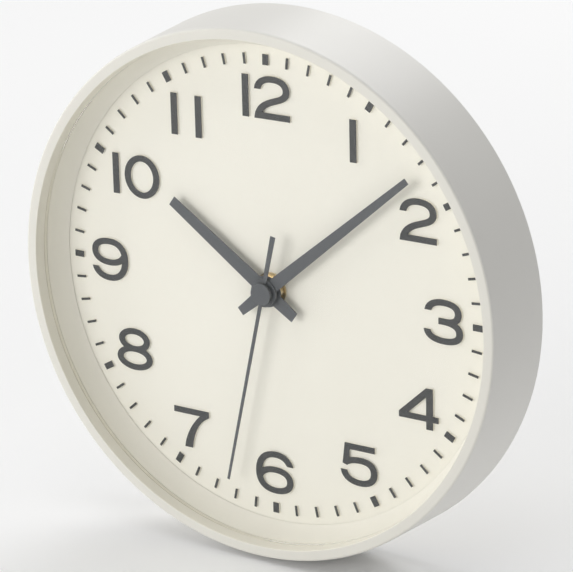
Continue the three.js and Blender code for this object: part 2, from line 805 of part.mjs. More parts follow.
// ---- Housing and bridge -----------------------------------------------------------------

const CENTRE_BORE = 2.1; // clearance hole of the bridge round the central shafts
const BRIDGE_INSET = 1.6; // from the outside of the housing to the bridge's edge

function housingOutline(inset) {
  const { left, right, bottom, top } = MOVEMENT;
  return roundedRectangle(left + inset, bottom + inset, right - inset, top - inset, 2.5 - inset);
}

function housingWalls(front, back) {
  const outline = housingOutline(0);
  outline.holes.push(housingOutline(MOVEMENT.wall));
  const shelf = block(MOVEMENT.left + 0.5, BAY_TOP, MOVEMENT.right - 0.5, BAY_TOP + 1, front, back);
  return join(plate(outline, front, back - front), shelf);
}

// The space over the battery, cut into a housing's floor.
function batteryBay(front, back) {
  const { left, right, bottom, wall } = MOVEMENT;
  return block(left + wall, bottom + wall, right - wall, BAY_TOP, front, back);
}

function frontHousingGeometry() {
  const floor = plate(housingOutline(0), MOVEMENT.front, MOVEMENT.floor);
  const pivots = [THIRD_PLACE, MINUTE_PLACE].map((place) => {
    return disc(PIVOT_HOLE, FRONT_FLOOR - 0.9, FRONT_FLOOR + 1, 10, place);
  });
  return cut(
    join(floor, housingWalls(MOVEMENT.front, HOUSING_SPLIT - GAP)),
    batteryBay(MOVEMENT.front + 1.1, FRONT_FLOOR + 1),
    disc(BUSHING.outer + GAP, MOVEMENT.front - 1, FRONT_FLOOR + 1, 24),
    disc(BUSHING.flange + GAP, FRONT_FLOOR - 1, FRONT_FLOOR + 1, 24),
    ...pivots,
  );
}

function backHousingGeometry() {
  const floor = plate(housingOutline(0), BACK_FLOOR, MOVEMENT.floor);
  const pivots = [AXIS, THIRD_PLACE, FIFTH_PLACE, ROTOR_PLACE].map((place) => {
    return disc(PIVOT_HOLE, BACK_FLOOR - 1, BACK_FLOOR + 0.9, 10, place);
  });
  return cut(
    join(floor, housingWalls(HOUSING_SPLIT, MOVEMENT.back)),
    batteryBay(BACK_FLOOR - 1, 1),
    disc(KNOB.stem + GAP, BACK_FLOOR - 1, 1, 12, KNOB_PLACE),
    ...pivots,
  );
}

function bridgeGeometry() {
  const { front, thick } = BRIDGE_LEVEL;
  const left = MOVEMENT.left + BRIDGE_INSET;
  const right = MOVEMENT.right - BRIDGE_INSET;
  const outline = roundedRectangle(left, BAY_TOP + 1.4, right, MOVEMENT.top - BRIDGE_INSET, 1.5);
  const coil = block(COIL.x - 4.5, COIL.bottom - 3.5, COIL.x + 4.2, COIL.top + 3.5, front - 1, front + 2);
  const through = [THIRD_PLACE, FIFTH_PLACE, ROTOR_PLACE].map((place) => {
    return disc(PIVOT_HOLE, front - 1, front + 2, 10, place);
  });
  return cut(
    plate(outline, front, thick),
    coil,
    disc(CENTRE_BORE, front - 1, front + 2, 16),
    disc(KNOB.stem + GAP, front - 1, front + 2, 12, KNOB_PLACE),
    ...through,
  );
}

// ---- Motor: coil, core, stator ----------------------------------------------------------

const COIL = { x: -22.3, y: -11.6, bottom: 1.5, top: 15.5, radius: 3.5, flange: 3.8 };
const CORE = { half: 1.1, front: -12.05, back: -11.15, overhang: 3.2 };
const STATOR = { front: -10.85, back: -10.05, right: -10.2 };

// A solid turned about the coil's own upright axis.
function coilTurned(outline, segments) {
  const points = outline.map(([radius, z]) => new THREE.Vector2(radius, z));
  if (THREE.ShapeUtils.area(points) < 0) points.reverse();
  points.push(points[0].clone());
  const geometry = new THREE.LatheGeometry(points, segments);
  geometry.rotateX(Math.PI / 2);
  geometry.translate(COIL.x, COIL.y, 0);
  return geometry;
}

function bobbinGeometry() {
  const { bottom, top, flange } = COIL;
  const core = block(COIL.x - 1.3, bottom - 1, COIL.x + 1.3, top + 1, CORE.front - 0.2, CORE.back + 0.2);
  return cut(
    coilTurned(
      [
        [0, bottom],
        [flange, bottom],
        [flange, bottom + 0.8],
        [1.9, bottom + 0.8],
        [1.9, top - 0.8],
        [flange, top - 0.8],
        [flange, top],
        [0, top],
      ],
      20,
    ),
    core,
  );
}

function windingGeometry() {
  const bottom = COIL.bottom + 0.8 + 0.1;
  const top = COIL.top - 0.8 - 0.1;
  return coilTurned(
    [
      [2, bottom],
      [COIL.radius, bottom],
      [COIL.radius, top],
      [2, top],
    ],
    24,
  );
}

function coreGeometry() {
  const bottom = COIL.bottom - CORE.overhang;
  const top = COIL.top + CORE.overhang - 0.4;
  return block(COIL.x - CORE.half, bottom, COIL.x + CORE.half, top, CORE.front, CORE.back);
}

function statorGeometry() {
  const left = COIL.x - 1.6;
  const bottom = COIL.bottom - CORE.overhang;
  const top = COIL.top + CORE.overhang - 0.4;
  const inner = COIL.x + COIL.flange + 0.6;
  const outline = polygon([
    [left, bottom],
    [STATOR.right, bottom],
    [STATOR.right, top],
    [left, top],
    [left, COIL.top + 0.8],
    [inner, COIL.top + 0.8],
    [inner, COIL.bottom - 0.8],
    [left, COIL.bottom - 0.8],
  ]);
  outline.holes.push(polygon(ovalPoints(ROTOR_PLACE.x, ROTOR_PLACE.y, MAGNET.radius + 0.4, MAGNET.radius + 0.4, 20)));
  return plate(outline, STATOR.front, STATOR.back - STATOR.front);
}

// ---- Electronics and battery ------------------------------------------------------------

const CRYSTAL = { radius: 0.75, length: 6, x: -18, z: 12 };
const CHIP = { radius: 3, height: 1.2, x: -21, z: 1.5 };
const BOARD = { left: -26, right: -15.2, bottom: -5.6, top: 18, front: -7.4, back: -6.6 };

function boardGeometry() {
  const { left, right, bottom, top, front, back } = BOARD;
  return block(left, bottom, right, top, front, back);
}

function crystalGeometry() {
  const can = new THREE.CylinderGeometry(CRYSTAL.radius, CRYSTAL.radius, CRYSTAL.length, 12);
  can.rotateX(Math.PI / 2);
  can.translate(CRYSTAL.x, BOARD.back + GAP + CRYSTAL.radius, CRYSTAL.z);
  return can;
}

function chipGeometry() {
  const back = BOARD.back + 0.1;
  return turned(
    [
      [0, back],
      [CHIP.radius, back],
      [0.8 * CHIP.radius, back + 0.8],
      [0, back + CHIP.height],
    ],
    16,
  ).translate(CHIP.x, 0, CHIP.z);
}

// A solid turned about the battery's own level axis, from [radius, x] points.
function batteryGeometry() {
  const { radius, left, length, button, y, z } = BATTERY;
  const right = left + length;
  const outline = [
    [0, left],
    [radius - 0.5, left],
    [radius, left + 0.5],
    [radius, right - 0.5],
    [radius - 0.5, right],
    [button.radius, right],
    [button.radius, right + button.height],
    [0, right + button.height],
  ].map(([r, x]) => new THREE.Vector2(r, x));
  if (THREE.ShapeUtils.area(outline) < 0) outline.reverse();
  outline.push(outline[0].clone());
  const geometry = new THREE.LatheGeometry(outline, 28);
  geometry.rotateZ(-Math.PI / 2);
  geometry.translate(0, y, z);
  return geometry;
}

function positiveContactGeometry() {
  const x = BATTERY.left + BATTERY.length + BATTERY.button.height + 0.15;
  return block(x, BATTERY.z - 4, x + 0.3, BATTERY.z + 4, -16, -6);
}

// A sheet contact with a folded spring leaf that presses on the battery's flat end.
function negativeContactGeometry() {
  const inner = MOVEMENT.left + MOVEMENT.wall;
  const leaf = polygon([
    [inner + 0.1, 4],
    [inner + 0.5, 4],
    [inner + 0.5, 3],
    [BATTERY.left - 0.2, 0.4],
    [BATTERY.left - 0.2, -0.4],
    [inner + 0.5, -3],
    [inner + 0.5, -4],
    [inner + 0.1, -4],
    [inner + 0.1, -3],
    [BATTERY.left - 0.7, -0.2],
    [BATTERY.left - 0.7, 0.2],
    [inner + 0.1, 3],
  ]);
  return plate(leaf, -14, 7).translate(0, 0, BATTERY.z);
}

// ---- Assembly ---------------------------------------------------------------------------

const WHITE_CASE = { color: 0xe6e5df, roughness: 0.55, metalness: 0 };
const CREAM_DIAL = { color: 0xeeebdf, roughness: 0.6, metalness: 0 };
const CLEAR_GLASS = { color: 0xf4f8f6, roughness: 0.05, metalness: 0, transparent: true, opacity: 0.15 };
const GREY_HAND = { color: 0x67696b, roughness: 0.5, metalness: 0.3 };
const BRASS = { color: 0xc9a45a, roughness: 0.3, metalness: 1 };
const STEEL = { color: 0xb9bcbe, roughness: 0.35, metalness: 1 };
const BLACK_PLASTIC = { color: 0x1d1e20, roughness: 0.6, metalness: 0 };
const CLEAR_PLASTIC = { color: 0xe9ece8, roughness: 0.4, metalness: 0 };
const WHITE_GEAR = { color: 0xf1efe8, roughness: 0.45, metalness: 0 };
const RUBBER = { color: 0x2b2b2c, roughness: 0.9, metalness: 0 };
const COPPER = { color: 0xb5683a, roughness: 0.35, metalness: 1 };
const MAGNET_GREY = { color: 0x4a4b4f, roughness: 0.5, metalness: 0.8 };
const GREEN_BOARD = { color: 0x2f6b46, roughness: 0.5, metalness: 0 };
const BATTERY_SLEEVE = { color: 0x3d5878, roughness: 0.4, metalness: 0.2 };

const clock = new THREE.Group();
const aboutAxis = new THREE.Group();
aboutAxis.position.z = -HOOK_HEIGHT;
clock.add(aboutAxis);

function add(name, geometry, finish) {
  const mesh = new THREE.Mesh(geometry, new THREE.MeshStandardMaterial(finish));
  mesh.name = name;
  aboutAxis.add(mesh);
}

add("case_ring", caseGeometry(), WHITE_CASE);
add("front_glass", disc(GLASS_RADIUS, GLASS_FRONT, GLASS_FRONT + GLASS_THICKNESS, CASE_SEGMENTS), CLEAR_GLASS);
add("spacer_ring", spacerGeometry(), CREAM_DIAL);
add("dial", dialGeometry(), CREAM_DIAL);
add("back_cover", coverGeometry(), WHITE_CASE);
SCREW_ANGLES.forEach((angle, i) => add(`cover_screw_${i + 1}`, screwGeometry(angle), STEEL));

add("hour_hand", handGeometry(HOUR_HAND, HOUR_PIPE.outer, 24), GREY_HAND);
add("minute_hand", handGeometry(MINUTE_HAND, MINUTE_PIPE.outer, 20), GREY_HAND);
add("second_hand", handGeometry(SECOND_HAND, SHAFT_RADIUS, 12), GREY_HAND);
add("second_hand_cap", secondCapGeometry(), GREY_HAND);

add("centre_bushing", bushingGeometry(), BRASS);
add("fixing_nut", nutGeometry(), BRASS);
const washerBack = DIAL_FRONT - GAP;
add("nut_washer", tube(BUSHING.outer + GAP, WASHER.radius, washerBack - WASHER.thick, washerBack, 32), BRASS);
const gasketBack = MOVEMENT.front - GAP;
add("rubber_gasket", tube(BUSHING.outer + GAP, GASKET.radius, gasketBack - GASKET.thick, gasketBack, 28), RUBBER);

add("movement_front_housing", frontHousingGeometry(), BLACK_PLASTIC);
add("movement_back_housing", backHousingGeometry(), BLACK_PLASTIC);
add("train_bridge", bridgeGeometry(), CLEAR_PLASTIC);
add("hour_wheel", hourWheelGeometry(), WHITE_GEAR);
add("cannon_pinion", cannonPinionGeometry(), WHITE_GEAR);
add("minute_wheel", minuteWheelGeometry(), WHITE_GEAR);
add("centre_wheel", centreWheelGeometry(), WHITE_GEAR);
add("third_wheel", thirdWheelGeometry(), WHITE_GEAR);
add("fourth_wheel", fourthWheelGeometry(), WHITE_GEAR);
add("fifth_wheel", fifthWheelGeometry(), WHITE_GEAR);
add("rotor", rotorGeometry(), WHITE_GEAR);
add("rotor_magnet", magnetGeometry(), MAGNET_GREY);
add("setting_knob", knobGeometry(), BLACK_PLASTIC);

add("stator", statorGeometry(), STEEL);
add("coil_core", coreGeometry(), STEEL);
add("coil_bobbin", bobbinGeometry(), BLACK_PLASTIC);
add("coil_winding", windingGeometry(), COPPER);
add("circuit_board", boardGeometry(), GREEN_BOARD);
add("quartz_crystal", crystalGeometry(), STEEL);
add("control_chip", chipGeometry(), BLACK_PLASTIC);
add("battery", batteryGeometry(), BATTERY_SLEEVE);
add("positive_contact", positiveContactGeometry(), STEEL);
add("negative_contact", negativeContactGeometry(), STEEL);

export default clock;
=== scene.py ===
# %% [markdown]
# # A round wall clock
# The mechanical model holds every size, axis and joint of this clock. This lesson builds its
# looks: smooth mouldings, bevelled hands, printed numerals, a readable back, and a finish for
# every material. Nothing of the mechanical model is moved.

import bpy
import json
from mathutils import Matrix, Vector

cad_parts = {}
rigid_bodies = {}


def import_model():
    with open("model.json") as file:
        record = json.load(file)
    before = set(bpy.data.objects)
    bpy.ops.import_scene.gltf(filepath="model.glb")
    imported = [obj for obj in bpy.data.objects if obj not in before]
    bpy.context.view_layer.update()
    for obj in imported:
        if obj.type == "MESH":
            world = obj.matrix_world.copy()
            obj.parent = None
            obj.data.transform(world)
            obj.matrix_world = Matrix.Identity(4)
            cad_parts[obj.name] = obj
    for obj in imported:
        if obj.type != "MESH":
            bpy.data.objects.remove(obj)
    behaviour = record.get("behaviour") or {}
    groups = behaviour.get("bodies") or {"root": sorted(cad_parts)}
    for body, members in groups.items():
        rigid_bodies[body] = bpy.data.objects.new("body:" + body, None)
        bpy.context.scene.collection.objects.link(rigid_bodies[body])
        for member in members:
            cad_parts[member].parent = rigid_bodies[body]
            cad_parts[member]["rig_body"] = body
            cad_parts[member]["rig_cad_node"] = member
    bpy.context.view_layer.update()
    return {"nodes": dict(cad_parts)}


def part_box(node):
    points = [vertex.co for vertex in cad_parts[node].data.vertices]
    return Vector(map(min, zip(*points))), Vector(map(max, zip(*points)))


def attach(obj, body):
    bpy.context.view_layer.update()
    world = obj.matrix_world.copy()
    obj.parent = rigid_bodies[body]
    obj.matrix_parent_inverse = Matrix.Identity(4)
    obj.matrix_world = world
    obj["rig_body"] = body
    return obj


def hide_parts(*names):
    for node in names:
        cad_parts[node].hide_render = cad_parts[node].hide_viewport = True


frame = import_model()
nodes = frame["nodes"]

# %% Tools and driving sizes
import json
import math

import bmesh
import bpy
from mathutils import Quaternion, Vector

MM = 0.001
MERGE = 0.002 * MM  # vertices closer than this are one vertex
case_low, case_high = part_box("case_ring")
CASE_RADIUS = (case_high.x - case_low.x) / 2
CASE_FRONT = case_low.y
AXIS = Vector((0, 0, (case_low.z + case_high.z) / 2))  # the hands turn about Y here
print("case radius", round(CASE_RADIUS / MM), "mm, depth", round(-CASE_FRONT / MM), "mm")

# %% [markdown]
# ## Camera, floor and light
# The clock stands on its rim on a white studio floor, seen from the right and a little above
# with a long lens, which keeps the far side of the ring almost as large as the near side. The
# camera is placed by azimuth, elevation and distance from the middle of the dial, which is
# easier to reason about than three coordinates.

# %% Camera
AZIMUTH, ELEVATION, ROLL = (math.radians(angle) for angle in (33.03, 18.96, -1.305))
DISTANCE, FAR_LIMIT = 1.380, 50
LENS, SENSOR = 188.2, 36  # millimetres
AIM_RIGHT, AIM_UP = 8.78 * MM, 3.12 * MM  # from the middle of the dial
dial_low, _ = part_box("dial")
target = AXIS + Vector((AIM_RIGHT, dial_low.y, AIM_UP))
back = Vector((
    math.sin(AZIMUTH) * math.cos(ELEVATION),
    -math.cos(AZIMUTH) * math.cos(ELEVATION),
    math.sin(ELEVATION),
))
bpy.ops.object.camera_add(location=target + back * DISTANCE)
camera = bpy.context.object
camera.name = "studio_camera"
camera.data.lens, camera.data.sensor_width, camera.data.clip_end = LENS, SENSOR, FAR_LIMIT
camera.rotation_mode = "QUATERNION"
camera.rotation_quaternion = (-back).to_track_quat("-Z", "Y") @ Quaternion((0, 0, 1), ROLL)
bpy.context.scene.camera = camera
print("camera at", [round(x, 3) for x in camera.location])

# %% [markdown]
# Four wide soft boxes light the clock: one above, one on the left, one low in front, and one
# behind for the floor and the back of the clock. Wide sources give the faint, blurred shadows
# that the hands throw on the dial. The white surround is dimmer than the boxes, so the side of
# the case that is turned away from them falls into a soft grey.

# %% Soft boxes and surround
def soft_box(name, place, width, height, power):
    """A rectangular area light at place, facing the middle of the dial."""
    bpy.ops.object.light_add(type="AREA", location=place)
    lamp = bpy.context.object
    lamp.name = name
    lamp.data.shape = "RECTANGLE"
    lamp.data.size, lamp.data.size_y, lamp.data.energy = width, height, power
    lamp.rotation_mode = "QUATERNION"
    lamp.rotation_quaternion = (target - Vector(place)).to_track_quat("-Z", "Y")


# Each box: its place in metres, width, height, and power in watts.
SOFT_BOXES = {
    "top_box": ((0, -0.3, 2.2), 2, 2, 16),
    "left_box": ((-2.2, -0.4, 0.4), 1.5, 1.5, 20.5),
    "front_box": ((-1.0, -2.2, 0.2), 1.5, 1.5, 27.5),
    "back_box": ((-0.3, 2.0, 1.5), 1.6, 1.2, 25),
}
for name, settings in SOFT_BOXES.items():
    soft_box(name, *settings)
SURROUND_STRENGTH = 0.345
surround = bpy.data.worlds.new("white_surround")
surround.use_nodes = True
background = surround.node_tree.nodes["Background"].inputs
background["Color"].default_value = (1, 1, 1, 1)
background["Strength"].default_value = SURROUND_STRENGTH
bpy.context.scene.world = surround
bpy.context.scene.view_settings.view_transform = "Standard"

# %% [markdown]
# ## A small language for materials
# A material is a graph, and a graph is hard to read as a list of links. Here a socket is
# wrapped in one small class with the usual arithmetic signs, so that `1 - mask * 0.2` adds its
# own Math nodes. Every other node comes from one method that takes its type, its settings and
# its inputs.

# %% Wires and finishes
class Wire:
    """An output socket, on which + - * and > add Math nodes."""

    def __init__(self, finish, socket):
        self.finish, self.socket = finish, socket

    def math(self, operation, first, second):
        return self.finish.node("Math", {"operation": operation}, {0: first, 1: second})

    def __add__(self, other):
        return self.math("ADD", self, other)

    def __sub__(self, other):
        return self.math("SUBTRACT", self, other)

    def __rsub__(self, other):
        return self.math("SUBTRACT", other, self)

    def __mul__(self, other):
        return self.math("MULTIPLY", self, other)

    def __gt__(self, other):
        return self.math("GREATER_THAN", self, other)

    __radd__, __rmul__ = __add__, __mul__


class Finish:
    """A material under construction: its node tree, its shader, and a way to add nodes."""

    def __init__(self, name, **values):
        self.material = bpy.data.materials.new(name)
        self.material.use_nodes = True
        self.tree = self.material.node_tree
        self.shader = self.tree.nodes["Principled BSDF"]
        self.set(**values)

    def put(self, socket, value):
        """Links a wire to a socket, or sets the socket's constant."""
        if isinstance(value, Wire):
            self.tree.links.new(value.socket, socket)
        elif isinstance(value, tuple) and len(value) == 3 and socket.type == "RGBA":
            socket.default_value = (*value, 1)
        else:
            socket.default_value = value

    def set(self, **values):
        """Sets shader sockets: base_color=... is Base Color."""
        for name, value in values.items():
            self.put(self.shader.inputs[name.replace("_", " ").title().replace("Ior", "IOR")], value)

    def node(self, kind, settings=None, inputs=None, output=0):
        """Adds a node of a type, sets it up, feeds it, and returns one of its outputs."""
        made = self.tree.nodes.new("ShaderNode" + kind)
        for key, value in (settings or {}).items():
            if key == "stops":
                while len(made.color_ramp.elements) < len(value):
                    made.color_ramp.elements.new(0.5)
                for stop, (position, grey) in zip(made.color_ramp.elements, value):
                    stop.position = position
                    stop.color = (grey, grey, grey, 1)
            else:
                setattr(made, key, value)
        for key, value in (inputs or {}).items():
            self.put(made.inputs[key], value)
        return Wire(self, made.outputs[output])

    def place(self, shift=(0, 0, 0), turn=(0, 0, 0), scale=(1, 1, 1)):
        """The point on the piece in metres, shifted, turned and scaled."""
        point = self.node("TexCoord", output="Object")
        inputs = {"Vector": point, "Location": shift, "Rotation": turn, "Scale": scale}
        return self.node("Mapping", None, inputs)

    def noise(self, size, detail=2.0, place=None):
        """Noise from 0 to 1 whose features are size metres across."""
        place = place or self.place()
        return self.node("TexNoise", None, {"Vector": place, "Scale": 1 / size, "Detail": detail})

    def blend(self, share, low, high):
        """A colour between low and high."""
        mix = self.node("Mix", {"data_type": "RGBA"}).socket.node
        for name, kind, value in (("Factor", "VALUE", share), ("A", "RGBA", low), ("B", "RGBA", high)):
            self.put(next(s for s in mix.inputs if s.name == name and s.type == kind), value)
        return Wire(self, next(s for s in mix.outputs if s.type == "RGBA"))

    def ramp(self, value, *stops):
        """A value sent through stops of (position, grey)."""
        return self.node("ValToRGB", {"stops": stops}, {"Fac": value})

    def bump(self, height, depth, strength=1.0):
        """Relief of depth metres from a height of 0 to 1."""
        inputs = {"Height": height, "Distance": depth, "Strength": strength}
        self.set(normal=self.node("Bump", None, inputs))
        return self


print("materials can now be written as expressions")

# %% [markdown]
# ## Plastics
# The case is a fine satin moulding: nearly white, with a slight warm cast, a little unevenness
# of colour over a hand's breadth, and the microscopic grain of a spark-eroded tool, which
# breaks up the highlight. The dial is the same plastic in cream, matter still; the cove ring's
# cream is the dial's made darker, painted shade for the hollow inside the lip. Black plastic
# parts of a movement have a coarser grain.

# %% Moulded plastics
DRIFT_SIZE = 70 * MM
SATIN_SPREAD = 0.14  # how far the grain moves the roughness


def moulded(finish, tone, roughness, grain, depth):
    """Gives a finish its tone and the fine grain of a moulding tool."""
    speck = finish.noise(grain, 2)
    finish.set(base_color=tone, roughness=roughness + (speck - 0.5) * SATIN_SPREAD)
    return finish.bump(speck, depth, 0.6).material


def moulding(name, dark, light, roughness, grain, depth):
    """A matte moulded plastic between two close tones."""
    finish = Finish(name)
    tone = finish.blend(finish.noise(DRIFT_SIZE, 3), dark, light)
    return moulded(finish, tone, roughness, grain, depth)


dial_cream = moulding(
    "dial_cream", (0.912, 0.884, 0.782), (0.940, 0.915, 0.824), 0.62, 0.22 * MM, 0.006 * MM
)
# painted shade: the dial's cream made darker, for the cove in the shade of the lip
cove_shaded_cream = moulding(
    "cove_shaded_cream", (0.890, 0.860, 0.765), (0.918, 0.890, 0.800), 0.6, 0.22 * MM, 0.006 * MM
)
movement_black = moulding(
    "movement_black", (0.016, 0.017, 0.018), (0.024, 0.025, 0.027), 0.55, 0.3 * MM, 0.03 * MM
)
gear_white = moulding("gear_white", (0.72, 0.71, 0.67), (0.80, 0.79, 0.75), 0.38, 0.2 * MM, 0.004 * MM)
bridge_clear = moulding("bridge_clear", (0.60, 0.63, 0.61), (0.68, 0.71, 0.69), 0.3, 0.4 * MM, 0.004 * MM)
black_rubber = moulding(
    "black_rubber", (0.022, 0.022, 0.022), (0.032, 0.031, 0.030), 0.85, 0.15 * MM, 0.02 * MM
)
print("plastics made")

# %% [markdown]
# The case's finish is a little darker and creamier on the flat of the front lip. Inside the lip,
# within the radius of the glass, it is warmer: painted shade for the recess behind the lip.
# Both areas are masks on the place of a point, with a soft change at their edges.

# %% Case finish
SHADE_TINT_RADIUS, SHADE_TINT_BLUR = 122.6 * MM, 0.5 * MM
LIP_DEPTH, LIP_SHARE = 0.6 * MM, 0.8


def radius_from_axis(finish):
    """How far a point is from the hands' axis, in metres."""
    place = finish.place(shift=tuple(-AXIS))
    settings = {"operation": "MULTIPLY"}
    flat = finish.node("VectorMath", settings, {0: place, 1: (1, 0, 1)}, output="Vector")
    return finish.node("VectorMath", {"operation": "LENGTH"}, {0: flat}, output="Value")


def case_moulding(name, outer, lip, inner, roughness, grain, depth):
    """A moulding with three pairs of tones: outside, on the front lip, and painted shade inside the lip."""
    finish = Finish(name)
    drift = finish.noise(DRIFT_SIZE, 3)
    # painted shade: a warmer tone inside the glass's radius, for the recess behind the lip
    inside = (SHADE_TINT_RADIUS - radius_from_axis(finish)) * (1 / SHADE_TINT_BLUR)
    inside = finish.ramp(inside, (0.0, 0.0), (1.0, 1.0))
    y = finish.node("SeparateXYZ", None, {"Vector": finish.place()}, output="Y")
    on_lip = (CASE_FRONT + LIP_DEPTH - y) * (1 / LIP_DEPTH)
    on_lip = finish.ramp(on_lip, (0.0, 0.0), (LIP_SHARE, 1.0))
    front_tone = finish.blend(on_lip, finish.blend(drift, *outer), finish.blend(drift, *lip))
    tone = finish.blend(inside, front_tone, finish.blend(drift, *inner))
    return moulded(finish, tone, roughness, grain, depth)


case_white = case_moulding(
    "case_white",
    outer=((0.775, 0.762, 0.722), (0.809, 0.797, 0.759)),
    lip=((0.740, 0.722, 0.654), (0.772, 0.755, 0.690)),
    # painted shade: the warm tones of the recess inside the lip
    inner=((0.800, 0.768, 0.668), (0.832, 0.800, 0.705)),
    roughness=0.44, grain=0.35 * MM, depth=0.012 * MM,
)
print("case finish made")

# %% [markdown]
# ## Print and paint
# The tops of the numerals and minute marks carry a matte dark grey print. A print is never
# quite even, so its tone drifts and its surface is slightly pebbled. The hands are sheet
# aluminium with a satin slate-grey lacquer.

# %% Numeral print and hand lacquer
def coating(name, dark, light, roughness, pebble, depth):
    """A thin coat of ink or lacquer over a smooth part."""
    finish = Finish(name)
    cloud = finish.noise(18 * MM, 4)
    pebbles = finish.noise(pebble, 3)
    finish.set(
        base_color=finish.blend(cloud * 0.7 + pebbles * 0.3, dark, light),
        roughness=roughness + (cloud - 0.5) * 0.1 + (pebbles - 0.5) * 0.12,
    )
    return finish.bump(pebbles, depth, 0.5).material


dial_ink = coating("dial_ink", (0.045, 0.047, 0.048), (0.063, 0.065, 0.066), 0.42, 0.16 * MM, 0.008 * MM)
hand_grey = coating("hand_grey", (0.088, 0.094, 0.101), (0.108, 0.114, 0.121), 0.46, 0.12 * MM, 0.006 * MM)
board_green = coating("board_green", (0.020, 0.095, 0.045), (0.030, 0.130, 0.062), 0.3, 0.5 * MM, 0.01 * MM)
print("coatings made")

# %% [markdown]
# The battery wears a printed plastic sleeve: a dark blue body and a copper-coloured band at the
# positive end. Both come from one mask, which follows the distance along the battery. A thin
# clear coat over the print gives it the wet gloss of shrink film.

# %% Battery sleeve
battery_low, battery_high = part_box("battery")
BAND_START = battery_high.x - 11 * MM


def printed_sleeve(name, body_dark, body_light, band):
    """A glossy printed film with a band of another colour at its positive end."""
    finish = Finish(name, metallic=0.35, coat_weight=0.6, coat_roughness=0.12)
    along = finish.node("SeparateXYZ", None, {"Vector": finish.place()}, output="X")
    is_band = along > BAND_START
    cloud = finish.noise(9 * MM, 3)
    scuff = finish.noise(0.6 * MM, 4, finish.place(scale=(0.3, 1, 1)))
    sleeve = finish.blend(cloud, body_dark, body_light)
    finish.set(base_color=finish.blend(is_band, sleeve, band), roughness=0.3 + (scuff - 0.5) * 0.16)
    return finish.bump(scuff, 0.004 * MM, 0.5).material


battery_sleeve = printed_sleeve(
    "battery_sleeve", (0.016, 0.034, 0.070), (0.024, 0.048, 0.092), band=(0.42, 0.20, 0.09)
)
print("sleeve changes colour at x =", round(BAND_START / MM, 1), "mm")

# %% [markdown]
# ## Metals
# Turned brass carries fine rings about the axis, so its roughness follows the distance from
# it. Rolled steel has streaks along one direction, and zinc plating a faint crystal mottle.
# Copper wire lies in turns, which the winding's own shape gives.

# %% Brass, steel and copper
def metal(name, dark, light, roughness, stretch, depth=0.004 * MM):
    """A metal whose streaks are stretched along the axes by the given factors."""
    finish = Finish(name, metallic=1.0)
    streak = finish.noise(0.4 * MM, 3, finish.place(scale=stretch))
    cloud = finish.noise(6 * MM, 3)
    finish.set(
        base_color=finish.blend(cloud, dark, light),
        roughness=roughness + (streak - 0.5) * 0.22 + (cloud - 0.5) * 0.1,
    )
    return finish.bump(streak, depth, 0.6).material


def turned_metal(name, dark, light, roughness):
    """A metal with the fine rings of a lathe tool about the hands' axis."""
    finish = Finish(name, metallic=1.0)
    across = radius_from_axis(finish) * (1 / (0.12 * MM))
    settings = {"noise_dimensions": "1D"}
    rings = finish.node("TexNoise", settings, {"W": across, "Scale": 1.0, "Detail": 2.0})
    cloud = finish.noise(5 * MM, 3)
    finish.set(
        base_color=finish.blend(cloud, dark, light),
        roughness=roughness + (rings - 0.5) * 0.25,
    )
    return finish.bump(rings, 0.006 * MM, 0.6).material


brass = turned_metal("brass", (0.78, 0.63, 0.38), (0.88, 0.75, 0.51), 0.3)
screw_steel = metal("screw_steel", (0.55, 0.55, 0.53), (0.66, 0.66, 0.65), 0.32, (1, 1, 1), 0.006 * MM)
spring_steel = metal("spring_steel", (0.60, 0.61, 0.62), (0.70, 0.71, 0.72), 0.28, (0.08, 1, 1))
magnet_grey = metal("magnet_grey", (0.07, 0.07, 0.08), (0.11, 0.11, 0.12), 0.5, (1, 1, 1), 0.02 * MM)
copper_wire = metal("copper_wire", (0.52, 0.19, 0.08), (0.66, 0.28, 0.12), 0.3, (1, 1, 0.1))
print("metals made")

# %% [markdown]
# ## Glass
# The cover glass is so clear that only its reflections show it. A see-through film with a
# little gloss, stronger at a grazing angle, gives that look without the dark caustic shadow
# that refracting glass throws on what lies behind it. The glass's cut edge is ground and matte,
# and its beige is painted shade: the tone of the shaded lip wall beside it.

# %% Clear glass
def clear_sheet(name, tint, least, most):
    """A see-through sheet: least and most are how far it covers, face on and grazing."""
    finish = Finish(name, base_color=tint, roughness=0.03, ior=1.5)
    grazing = finish.node("LayerWeight", None, {"Blend": 0.08}, output="Fresnel")
    dust = finish.ramp(finish.noise(2.5 * MM, 6), (0.62, 0.0), (0.80, 1.0))
    finish.set(alpha=grazing * (most - least) + dust * 0.006 + least)
    return finish.material


clear_glass = clear_sheet("clear_glass", (0.93, 0.97, 0.955), 0.008, 0.35)
# painted shade: the ground edge takes the beige of the shaded lip wall beside it
ground_glass_painted_shade = coating("ground_glass_painted_shade", (0.86, 0.82, 0.70), (0.90, 0.86, 0.75), 0.5, 0.3 * MM, 0.01 * MM)
print("glass made")

# %% [markdown]
# ## Modelling by hand
# A clock is mostly turned and flat work. For a turned piece half of its section is drawn by
# extruding one vertex, and the section is spun about its axis. For a flat piece the outline is
# drawn the same way, filled, and extruded to its thickness. Edges are softened with a Bevel
# modifier at the end, because real edges always catch some light.

# %% Drawing and turning
def only(piece):
    """Selects one object and makes it active."""
    bpy.ops.object.select_all(action="DESELECT")
    piece.select_set(True)
    bpy.context.view_layer.objects.active = piece


def drawn(name, points):
    """A line through points, drawn by extruding a vertex. It is left in edit mode."""
    bpy.ops.object.select_all(action="DESELECT")
    bpy.ops.mesh.primitive_plane_add(size=MM, location=points[0])
    piece = bpy.context.object
    piece.name = piece.data.name = name
    bpy.ops.object.transform_apply(location=True, rotation=False, scale=False)
    bpy.ops.object.mode_set(mode="EDIT")
    bpy.ops.mesh.select_mode(type="VERT")
    bpy.ops.mesh.select_all(action="SELECT")
    bpy.ops.mesh.merge(type="CENTER")
    for before, after in zip(points, points[1:]):
        bpy.ops.mesh.extrude_region_move(TRANSFORM_OT_translate={"value": after - before})
    return piece


